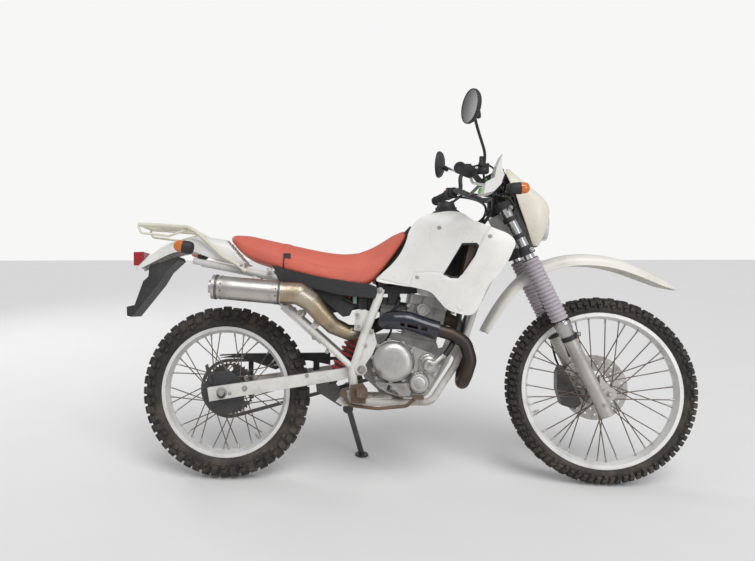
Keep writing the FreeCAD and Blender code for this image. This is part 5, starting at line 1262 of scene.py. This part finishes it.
def makeExhaustParts():
    front, rear = Vector(muffler["front"]), Vector(muffler["rear"])
    along = (rear - front).normalized()
    length, radius = (rear - front).length, muffler["radius"]
    form = bmesh.new()
    for distance, wide in ((3, radius + 1.2), (length - 6, radius + 3.0)):
        addBand(form, front + along * distance, along, radius - 1, wide, 9, 64)
    for distance in (18, length - 20):
        for k in range(muffler["rivets"]):
            turn = 2 * math.pi * (k + 0.5) / muffler["rivets"]
            out = Vector((0, math.cos(turn), math.sin(turn)))
            out = (out - along * out.dot(along)).normalized()
            rivet = front + along * distance + out * (radius - 0.5)
            addLathe(form, rivet, out, [(0, 3.4), (1.2, 3.2), (2.1, 1.8)], 12)
    meshPiece("mufflerBands", form, "chassis", "muffler_steel", "endBand", angle=35)
    clamp = bmesh.new()                                # holds the muffler on the mid pipe
    addBand(clamp, front - along * 20, along, 23, 29, 16, 48)
    tab = front - along * 12
    for y in (-6, 6):
        addBox(clamp, tab + Vector((0, y, -34)), (7, 2, 9))
    addBolt(clamp, tab + Vector((0, -8, -37)), toRight, 8)
    meshPiece("mufflerClamp", clamp, "chassis", "dark_steel", "darkSteel", angle=35)


makeFrameBolts()
makeShockSpring()
makeHoses()
makeIntakeBoot()
makeSidePlates()
makeExhaustParts()
print("frame parts made")


# Cockpit

# the mirror glass is near black: a painted reflection of dark surroundings, so it stays dark under the bright studio
# light
finishes["paintedDarkReflectionGlass"] = plainFinish("paintedDarkReflectionGlass", (0.055, 0.056, 0.052), 0.16, metallic=0.6, grain=0.0)
finishes["sleeveGreen"] = plainFinish("greenSleeve", (0.13, 0.62, 0.07), 0.35, coat=0.2)
finishes["buttonRed"] = plainFinish("redButton", (0.62, 0.05, 0.07), 0.4)
finishes["dialFace"] = plainFinish("dialFace", (0.012, 0.012, 0.013), 0.35, coat=0.5)
finishes["dialMark"] = plainFinish("dialMark", (0.72, 0.72, 0.68), 0.5)


bar = {
    "bend": 205,                 # beyond this width the handlebar runs back and down
    "bendX": 905, "bendZ": 1112,
    "run": 195, "back": 70, "down": 18,
    "gripFrom": 286, "ribs": 14, "ribStep": 7.4,
    "leverEnd": 392, "switches": 262, "clamps": (249, 264, 279), "fluidTank": 235,
}


def gripAxis(y):
    out = abs(y) - bar["bend"]
    return Vector((bar["bendX"] - out * bar["back"] / bar["run"], y, bar["bendZ"] - out * bar["down"] / bar["run"]))


def makeGrips():
    form = bmesh.new()
    for side in (-1, 1):
        along = (gripAxis(side * 402) - gripAxis(side * 284)).normalized()
        start = gripAxis(side * bar["gripFrom"])
        addLathe(form, start, along, [(-2, 15), (-2, 22), (3, 22.5), (5, 18)], 32)
        for k in range(bar["ribs"]):
            addLathe(form, start + along * (9 + k * bar["ribStep"]), along,
                     [(0, 16.5), (0.4, 18.4), (4.2, 18.4), (4.6, 16.5)], 28)
        addLathe(form, start + along * 114, along, [(-3, 17), (-2, 20), (4, 20), (6, 17), (6.5, 6)], 32)
        tip = gripAxis(side * bar["leverEnd"]) + Vector((70, 0, -8))
        addLathe(form, tip - along * 7, along, [(0, 2), (1, 5.5), (4, 8), (8, 8.6), (12, 8), (15, 5.5), (16, 2)], 20)
    meshPiece("gripRibs", form, "steering", "black_plastic", "gripRubber", angle=50)


def makeSwitches():
    form = bmesh.new()
    for side in (-1, 1):
        along = (gripAxis(side * 300) - gripAxis(side * 200)).normalized()
        for y in bar["clamps"]:
            addLathe(form, gripAxis(side * y), along, [(-1.4, 21), (-1.2, 22.8), (1.2, 22.8), (1.4, 21)], 40)
        switch = gripAxis(side * bar["switches"])
        addBox(form, switch + Vector((-4, 0, 19)), (11, 12, 5))
        addBox(form, switch + Vector((16, 0, -10)), (10, 13, 9))
    piece = meshPiece("switchCases", form, "steering", "black_plastic", "blackMoulding", angle=35)
    roundEdges(piece, 1.5, 2)
    red = bmesh.new()
    for side, profile in ((1, [(0, 6), (5, 6), (7, 4.5)]), (-1, [(0, 5), (4, 5), (6, 3.5)])):
        addLathe(red, gripAxis(side * bar["switches"]) + Vector((-12, 0, 18)), (-0.5, 0, 0.87), profile, 20)
    meshPiece("redButtons", red, "steering", "red_lens", "buttonRed", angle=40)
    cap = bmesh.new()
    tank = gripAxis(-bar["fluidTank"]) + Vector((46, 13, 24))
    addBox(cap, tank + Vector((0, 0, 1.5)), (17.5, 20.5, 2.5))
    piece = meshPiece("fluidTankCap", cap, "steering", "black_plastic", "blackMoulding", angle=30)
    roundEdges(piece, 1.5, 3)
    screws = bmesh.new()
    for dx, dy in ((-12, -14), (12, -14), (-12, 14), (12, 14)):
        addScrew(screws, tank + Vector((dx, dy, 4)), (0, 0, 1), 3.2)
    for side in (-1, 1):
        addBolt(screws, gripAxis(side * 244) + Vector((46, 0, 4)), (0, 0, 1), 9)
        for z in (-10, 10):
            addBolt(screws, gripAxis(side * bar["fluidTank"]) + Vector((19, 0, z)), (1, 0, 0), 6)
    boltPiece("cockpitScrews", screws, "steering")


mirrorForm = {
    "stems": {-1: [(930, -238, 1112), (941, -238, 1130), (944, -240, 1172), (930, -276, 1196), (902, -330, 1250),
                   (893, -360, 1268)],
              1: [(934, 262, 1188), (905, 300, 1210), (876, 350, 1238)]},
    "heads": {-1: (886, -372, 1302), 1: (860, 372, 1252)},
    "shell": [(-13, 4), (-12, 22), (-8, 40), (-2, 53), (5, 58), (11, 58.6), (14, 57.5), (14, 54.5), (12.6, 54.5)],
    "glass": [(12.2, 54.4), (12.9, 54.2), (13.2, 40), (13.3, 2)],
    "sleeve": [(916, 236, 1108), (925, 236, 1122), (922, 240, 1160), (928, 254, 1182), (936, 264, 1190)],
}


def makeMirrors():
    dark, glass, bright = bmesh.new(), bmesh.new(), bmesh.new()
    for side in (-1, 1):
        head = Vector(mirrorForm["heads"][side])
        facing = Vector((-1, side * 0.35, 0.1)).normalized()
        addLathe(dark, head, facing, mirrorForm["shell"], 56)
        addLathe(glass, head, facing, mirrorForm["glass"], 56)
        addTube(dark if side < 0 else bright, smoothRoute(mirrorForm["stems"][side]), 5.0, 14)
        addLathe(dark, head - facing * 12 + Vector((4, -side * 8, -14)), (0.3, -side * 0.6, -0.7),
                 [(0, 10), (14, 9), (22, 6.5)], 18)
    addTube(dark, smoothRoute(mirrorForm["sleeve"]), 8.5, 16)
    addLathe(dark, (930, -238, 1128), (0.05, 0, 1), [(0, 10), (10, 10), (14, 8), (34, 7)], 18)
    meshPiece("mirrorHeads", dark, "steering", "black_plastic", "blackMoulding", ("mirrors",), angle=40)
    meshPiece("mirrorGlasses", glass, "steering", "lamp_glass", "paintedDarkReflectionGlass", angle=60)
    meshPiece("mirrorStem", bright, "steering", "chrome", "chrome", angle=60)


dial = {"foot": (1034, 0, 1088), "axis": (-0.42, 0, 0.9), "height": 54, "marks": 13, "firstMark": -30, "step": 20,
        "markRadius": 34}


def makeDials():
    rim, face, marks = bmesh.new(), bmesh.new(), bmesh.new()
    axis = Vector(dial["axis"]).normalized()
    top = Vector(dial["foot"]) + axis * dial["height"]
    addLathe(rim, top, axis, [(-2, 43), (-2, 46), (4, 46), (5, 42), (1, 40)], 56)
    addLathe(face, top, axis, [(-1, 41), (1.4, 41), (1.5, 2)], 56)
    side = Vector((0, 1, 0))
    up = axis.cross(side)
    for k in range(dial["marks"]):
        turn = math.radians(dial["firstMark"] + k * dial["step"])
        out = side * math.cos(turn) - up * math.sin(turn)
        turned = Matrix((out, axis.cross(out), axis)).transposed()
        size = (2.2 if k % 2 else 3.6, 0.7, 0.3)
        addBox(marks, top + axis * 1.8 + out * dial["markRadius"], size, turned)
    turned = Matrix((side, axis.cross(side), axis)).transposed()
    addBox(marks, top + axis * 2.4 + side * 8 - up * 10, (14, 0.9, 0.4), turned)         # the hand and its boss
    addLathe(rim, top + axis * 1, axis, [(0, 5), (2.5, 5), (3.2, 3)], 20)
    meshPiece("dialRim", rim, "steering", "black_plastic", "blackMoulding", angle=40)
    meshPiece("dialFace", face, "steering", "black_plastic", "dialFace", angle=40)
    meshPiece("dialMarks", marks, "steering", "white_plastic", "dialMark", angle=30)


cables = {                       # points on the steering, points on the chassis, radius
    "throttleCable": ([(894, -250, 1122), (950, -226, 1146), (1004, -170, 1110), (1018, -96, 1052)],
                      [(986, -56, 985), (936, -40, 944)], 3.4),
    "clutchCable": ([(944, 240, 1104), (1000, 214, 1094), (1044, 130, 1064), (1022, 74, 1010)],
                    [(984, 52, 962), (940, 42, 930)], 3.6),
    "switchHarness": ([(900, -268, 1092), (930, -214, 1086), (990, -130, 1058), (1004, -72, 1022)],
                      [(984, -60, 968), (944, -50, 920)], 5.0),
    "leftHarness": ([(900, 268, 1092), (930, 214, 1086), (990, 130, 1054), (1002, 70, 1014)],
                    [(976, 58, 960), (938, 50, 916)], 5.0),
}
bendFrom, bendTo = (955, 0, 935), (1012, 0, 1040)
lampWires = [                    # points, radius
    ([(1010, -60, 1046), (1046, -88, 1060), (1072, -70, 1040), (1090, -50, 1000)], 4.5),
    ([(1000, -80, 1030), (1030, -104, 1010), (1062, -96, 990), (1080, -60, 960)], 4),
    ([(1020, 70, 1040), (1050, 96, 1044), (1076, 70, 1010), (1090, 40, 980)], 4),
    ([(1040, -30, 1060), (1052, -60, 1084), (1030, -66, 1104), (1010, -50, 1100)], 4),
]


def makeCables():
    # from the handlebar to the frame, across the steering joint
    start, end = uprightToRow @ Vector(bendFrom), uprightToRow @ Vector(bendTo)
    for name, (steered, fixed, radius) in cables.items():
        form = bmesh.new()
        line = [steerTurn @ Vector(p) for p in steered] + [Vector(p) for p in fixed]
        addTube(form, smoothRoute(line), radius, 12)
        bmesh.ops.recalc_face_normals(form, faces=form.faces)
        mesh = bpy.data.meshes.new(name)
        form.to_mesh(mesh)
        form.free()
        mesh.transform(uprightToRow)
        softShading(mesh, 60)
        piece = addObject(name, mesh)
        mesh.materials.append(finishes["cableBlack"])
        tuple(start)
        tuple(end)
        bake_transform(piece)
    sleeve, tip = bmesh.new(), bmesh.new()
    spot, along = Vector((938, -182, 1056)), Vector((-0.42, 0, -0.9)).normalized()
    addLathe(sleeve, spot, along, [(-4, 4), (0, 7.5), (12, 8), (18, 5)], 20)
    addLathe(tip, spot + along * 17, along, [(0, 3.5), (8, 3.5), (9, 2.5)], 14)
    addTube(sleeve, smoothRoute([(940, -182, 1060), (948, -190, 1072), (952, -204, 1090)]), 3.0, 10)
    meshPiece("greenSleeve", sleeve, "steering", "black_plastic", "sleeveGreen", angle=50)
    boltPiece("sleeveTip", tip, "steering", 40)
    small = bmesh.new()                                # loops of cable round the lamp's back
    for points, radius in lampWires:
        addTube(small, smoothRoute(points), radius, 10)
    meshPiece("lampWires", small, "steering", "black_plastic", "cableBlack", angle=60)


indicators = {                   # dark and lens: profiles along the lamp's axis
    "front": {"body": "steering", "y": 190, "from": (1026, 0, 1055), "to": (1103, 0, 1057),
              "dark": [(0, 5), (3, 12), (9, 17.5), (22, 20.8), (46, 21.6)],
              "lens": [(46, 20.6), (60, 20.2), (69, 17.5), (74, 12), (76, 3)],
              "stalk": [(1052, 92, 1052), (1052, 176, 1056)]},
    "rear": {"body": "chassis", "y": 148, "from": (-104, 0, 845), "to": (-180, 0, 860),
             "dark": [(0, 6), (3, 16), (9, 22), (20, 24.5), (42, 23.5)],
             "lens": [(42, 22.4), (58, 21), (68, 17.5), (74, 12), (76, 3)],
             "stalk": [(-128, 86, 852), (-128, 132, 850)]},
}


def makeIndicators():
    for end, data in indicators.items():
        dark, lens = bmesh.new(), bmesh.new()
        along = (Vector(data["to"]) - Vector(data["from"])).normalized()
        for side in (-1, 1):
            origin = Vector(data["from"]) + Vector((0, side * data["y"], 0))
            addLathe(dark, origin, along, data["dark"], 36)
            addLathe(lens, origin, along, data["lens"], 36)
            foot, tip = (Vector((x, side * y, z)) for x, y, z in data["stalk"])
            run = tip - foot
            addLathe(dark, foot, run, [(0, 11), (6, 11), (12, 7.5), (run.length - 8, 7.5), (run.length, 13)], 20)
        meshPiece(end + "IndicatorBodies", dark, data["body"], "black_plastic", "blackMoulding",
                  (end + "_indicators",), angle=40)
        meshPiece(end + "IndicatorLenses", lens, data["body"], "amber_lens", "amberLens", angle=45)


makeGrips()
makeSwitches()
makeMirrors()
makeDials()
makeCables()
makeIndicators()
print("cockpit made")


# Dark tank, rail guards, air box sides, black boxes as painted shade over the carburettor, and fittings on the struts

darkForm = {
    "railFace": 112.0,           # outer side of the seat rails
    "guard": [(206, 731), (240, 722), (430, 678), (560, 664), (566, 704), (540, 716), (466, 726), (380, 742),
              (250, 770), (182, 786)],
    "nose": [(572, 712), (600, 706), (640, 752), (672, 806), (700, 868), (712, 925), (690, 935), (668, 912),
             (630, 835), (590, 770), (566, 736)],
    "box": [(292, 745), (371, 720), (474, 691), (504, 681), (513, 647), (476, 627), (464, 603), (440, 598),
            (371, 656), (322, 705)],
    "spread": (430, 0.21),       # the guards follow the rails outwards from this x, by this slope
}


def makeTankSkin():
    source = bpy.data.objects["fuel_tank"]
    mesh = source.data.copy()
    mesh.transform(source.matrix_world)
    skin = settle(addObject("tankSkin", mesh), "chassis", "black_plastic", "blackMoulding", "fuel_tank")
    softShading(skin.data, 30)


def addPanel(form, outline, low, high):
    addRings(form, [[Vector((x, y, z)) for x, z in outline] for y in (low, high)])


def makeDarkPanelsAndShadeFill():
    form = bmesh.new()
    spreadFrom, slope = darkForm["spread"]
    for side in (-1, 1):
        addRings(form, [[Vector((x, side * (darkForm["railFace"] + lift + max(0, x - spreadFrom) * slope), z))
                         for x, z in darkForm["guard"]] for lift in (1, 4)])
        addPanel(form, darkForm["box"], side * 66, side * 89)
        addPanel(form, darkForm["nose"], side * 58, side * 66)
    # painted shade: these two black boxes over and beside the carburettor fill the shaded gap under the tank and side
    # cover, where the backdrop would show through
    addBox(form, (640, 0, 700), (72, 70, 14))
    addBox(form, (628, -60, 668), (22, 8, 22))
    piece = meshPiece("darkPanelsAndShadeFill", form, "chassis", "black_plastic", "blackMoulding", angle=30)
    roundEdges(piece, 1.4, 2)
    ribs = bmesh.new()
    for k in range(4):
        addBox(ribs, (400 + k * 22, -90, 672 - k * 5), (2, 1.6, 12))
    meshPiece("panelRibs", ribs, "chassis", "black_plastic", "blackMoulding", angle=30)


struts = {                       # x, z of fittings, some with a size
    "bosses": ((344, 579), (285, 612)),
    "bolts": ((334, 523), (382, 474), (249, 627)),
    "plate": [(478, 552), (488, 622), (520, 626), (540, 616), (530, 560), (508, 546)],
    "plateBolts": ((492, 606), (496, 565)),
    "railBolts": ((66, 784), (174, 758)),            # where the cowl and seat are bolted to the rail
    "axleNut": (0, 324), "axleFace": 117,
    "swingarmBolts": ((84, 340, 11), (309, 388, 8), (30, 322, 7)),
}


def makeStrutFittings():
    plates, bolts = bmesh.new(), bmesh.new()
    face = darkForm["railFace"] + 7
    leaned = Matrix.Rotation(math.radians(-42), 3, "Y")
    for side in (-1, 1):
        outward = (0, side, 0)
        for x, z in struts["bosses"]:
            addLathe(plates, (x, side * (face - 12), z), outward, [(0, 13), (9, 13), (11, 12)], 28)
            addBolt(bolts, (x, side * (face - 1), z), outward, 9)
            addBox(plates, (x - 7, side * (face - 7), z - 12), (9, 3, 12), leaned)
        for x, z in struts["bolts"]:
            addBolt(bolts, (x, side * (face + 0.5), z), outward, 8)
    addPanel(plates, struts["plate"], -127, -123)
    for x, z in struts["plateBolts"]:
        addLathe(plates, (x, -127, z), toRight, [(0, 12), (6, 12), (8, 10.5)], 26)
        addBolt(bolts, (x, -134, z), toRight, 8)
    for x, z in struts["railBolts"]:
        addLathe(plates, (x, -face + 6, z), toRight, [(0, 13), (5, 13), (6, 12)], 26)
        addBolt(bolts, (x, -face - 0.5, z), toRight, 9)
    x, z = struts["axleNut"]
    for side in (-1, 1):
        addBolt(bolts, (x, side * struts["axleFace"], z), (0, side, 0), 21)
        for boltX, boltZ, size in struts["swingarmBolts"]:
            addBolt(bolts, (boltX, side * (struts["axleFace"] - 1), boltZ), (0, side, 0), size)
    piece = meshPiece("strutPlates", plates, "chassis", "frame_paint", "framePaint", angle=30)
    roundEdges(piece, 0.8, 2)
    boltPiece("strutBolts", bolts)


strapForm = {
    "middle": 806,               # height of the point that it's laid round
    "slope": -9,                 # runs back towards its ends
    "band": ((248, -1), (248, 2.2), (228, 2.2), (228, -1)),      # x, height over the cushion
    "tail": ((236, 1), (236, 3.6), (231, 3.6), (231, 1)),
}


def makeSeatStrap():
    # the red strap lies on the simulated cushion, with a dark buckle on the right
    tree = BVHTree.FromObject(seat, bpy.context.evaluated_depsgraph_get())
    back = uprightToRow.inverted()

    def onSeat(x, turn, lift):
        out = Vector((0, -math.sin(turn), math.cos(turn)))
        middle = Vector((x, 0, strapForm["middle"]))
        hit = tree.ray_cast(uprightToRow @ (middle + out * 400), (uprightToRow.to_3x3() @ -out).normalized())
        return (back @ hit[0]) + out * lift if hit[0] else middle + out * 110

    def ringsOver(low, sweep, steps, section):
        for k in range(steps + 1):
            turn = math.radians(low + sweep * k / steps)
            slope = strapForm["slope"] * (1 - math.cos(turn))
            yield [onSeat(x + slope, turn, lift) for x, lift in section]

    strap, dark = bmesh.new(), bmesh.new()
    addRings(strap, list(ringsOver(-96, 192, 40, strapForm["band"])))
    piece = meshPiece("seatStrap", strap, "chassis", "red_vinyl", "seatVinyl", angle=50)
    addRings(dark, list(ringsOver(86, 26, 12, strapForm["tail"])))
    spot = onSeat(236, math.radians(83), 3)
    addBox(dark, spot, (13, 3.5, 9), Matrix.Rotation(math.radians(-8), 3, "X"))
    meshPiece("strapBuckle", dark, "chassis", "black_plastic", "strapBlack", angle=40)


makeTankSkin()
makeDarkPanelsAndShadeFill()
makeStrutFittings()
makeSeatStrap()
print("panels and straps made")


# Fork details: bright collar, hose clamp, hose beside the boots and axle bolts

forkForm = {                     # heights along the fork legs
    "collar": 586, "bootClamp": 536, "sliderBolt": 300, "rings": (812, 596), "clampBolts": (838, 990),
    "ear": 530,
    "hose": ((800, -58, 0), (740, -54, 14), (640, -60, 22), (560, -66, 18), (520, -70, 12), (470, -64, 20)),
    "hoseRings": ((760, 14), (650, 22)),
    "calliperCaps": ((1262, 398), (1268, 352), (1290, 318)),     # x, z
}


def makeForkDetails():
    bright, dark, bolts = bmesh.new(), bmesh.new(), bmesh.new()
    down = -forkUp
    for side in (-1, 1):
        y, outward = side * stance["forkSpread"], (0, side, 0)
        addLathe(bright, forkPoint(forkForm["collar"], y), down,
                 [(0, 26), (0, 30), (6, 31), (14, 31), (18, 28.5), (30, 28.5), (34, 25.6), (66, 25.4), (68, 24.2)], 48)
        addBand(dark, forkPoint(forkForm["bootClamp"], y), down, 25, 27.6, 15, 48)
        addBolt(bolts, forkPoint(forkForm["sliderBolt"], y) + Vector((0, side * 24, 0)), outward, 7)
        addBolt(bolts, Vector((frontAxle.x, y + side * 14, frontAxle.z)), outward, 15)
        for z in forkForm["rings"]:
            addBand(dark, forkPoint(z, y), down, 24, 28.5, 7, 40)
        for z in forkForm["clampBolts"]:
            addBolt(bolts, forkPoint(z, y) + Vector((12, side * 34, 6)), outward, 9)
    ear = forkPoint(forkForm["ear"], -stance["forkSpread"]) + forkForward * 33
    addBox(dark, ear, (9, 6, 7))
    addBolt(bolts, ear + Vector((2, -6, 0)), toRight, 6)
    addTube(dark, smoothRoute([forkPoint(z, y) - forkForward * back for z, y, back in forkForm["hose"]]), 5.0, 12)
    for z, back in forkForm["hoseRings"]:
        addBand(dark, forkPoint(z, -57) - forkForward * back, down, 4, 8, 8, 16)
    meshPiece("forkCollars", bright, "steering", "hub_alloy", "discSteel", angle=40)
    meshPiece("forkClampsSmall", dark, "steering", "black_plastic", "cableBlack", angle=40)
    boltPiece("forkBolts", bolts, "steering")
    calliper = bmesh.new()
    for x, z in forkForm["calliperCaps"]:
        addLathe(calliper, (x, 84, z), (0, 1, 0), [(0, 18), (6, 18), (8, 15), (8, 4)], 28)
        addBolt(calliper, (x + 4, 92, z + 2), (0, 1, 0), 8)
        addBolt(calliper, (x - 2, 44, z), toRight, 9)
    meshPiece("calliperCaps", calliper, "steering", "dark_steel", "darkSteel", angle=30)


makeForkDetails()
print("fork details made")


# Floor and light

studio = {
    "floorSize": 14.0,
    "floorTone": (0.80, 0.79, 0.775),
    "worldTone": (0.93, 0.95, 1.0),
    "worldStrength": 0.50,
    "sunStrength": 1.55,
    "sunSpread": 38,             # degrees, for soft shadows
    "sunFrom": (0.30, -0.85, 1.35),
    "backdropTone": (0.93, 0.93, 0.925),
    "lamps": [                   # name, place, aimed at, size, watts
        ("frontLamp", (2.6, -3.4, 1.6), (0.1, 0.0, 0.5), 1.6, 26),
        ("rearLamp", (-3.0, 2.2, 2.2), (0.0, 0.0, 0.7), 1.6, 24),
    ],
}


def addLight(name, kind, energy, turn, spot=(0, 0, 0)):
    light = bpy.data.lights.new(name, kind)
    light.energy = energy
    obj = addObject(name, light)
    obj.location, obj.rotation_euler = spot, turn.to_euler()
    return light


def makeFloor():
    bpy.ops.mesh.primitive_plane_add(size=studio["floorSize"])
    floor = bpy.context.object
    floor.name = "studioFloor"
    material, tree, shader = newMaterial("paleFloor")
    tone = studio["floorTone"]
    patches = noiseMask(tree, 3.0, 0.2, 0.8, detail=6)
    dress(tree, shader, Base_Color=mixColour(tree, patches, tone, tuple(c * 0.97 for c in tone)), Roughness=0.85)
    floor.data.materials.append(material)


def makeWorld():
    # a plain backdrop for the camera's rays, and softer light for all the others
    world = bpy.data.worlds.new("studioWorld")
    bpy.context.scene.world = world
    world.use_nodes = True
    tree = world.node_tree
    lit, seen = tree.nodes["Background"], node(tree, "ShaderNodeBackground")
    dress(tree, lit, Color=studio["worldTone"], Strength=studio["worldStrength"])
    dress(tree, seen, Color=studio["backdropTone"])
    path = node(tree, "ShaderNodeLightPath")
    direct = maths(tree, "MAXIMUM", path.outputs["Is Camera Ray"], path.outputs["Is Transmission Ray"])
    blend = node(tree, "ShaderNodeMixShader")
    for socket, value in zip(blend.inputs, (direct, lit.outputs[0], seen.outputs[0])):
        feed(tree, value, socket)
    feed(tree, blend.outputs[0], tree.nodes["World Output"].inputs["Surface"])


def makeLights():
    sun = addLight("softSun", "SUN", studio["sunStrength"], Vector(studio["sunFrom"]).to_track_quat("Z", "Y"))
    sun.angle = math.radians(studio["sunSpread"])
    for name, spot, aim, size, watts in studio["lamps"]:
        lamp = addLight(name, "AREA", watts, (Vector(aim) - Vector(spot)).to_track_quat("-Z", "Y"), spot)
        lamp.shape, lamp.size = "DISK", size


makeFloor()
makeWorld()
makeLights()
bpy.context.scene.view_settings.view_transform = "Standard"
print("floor and lamps set")
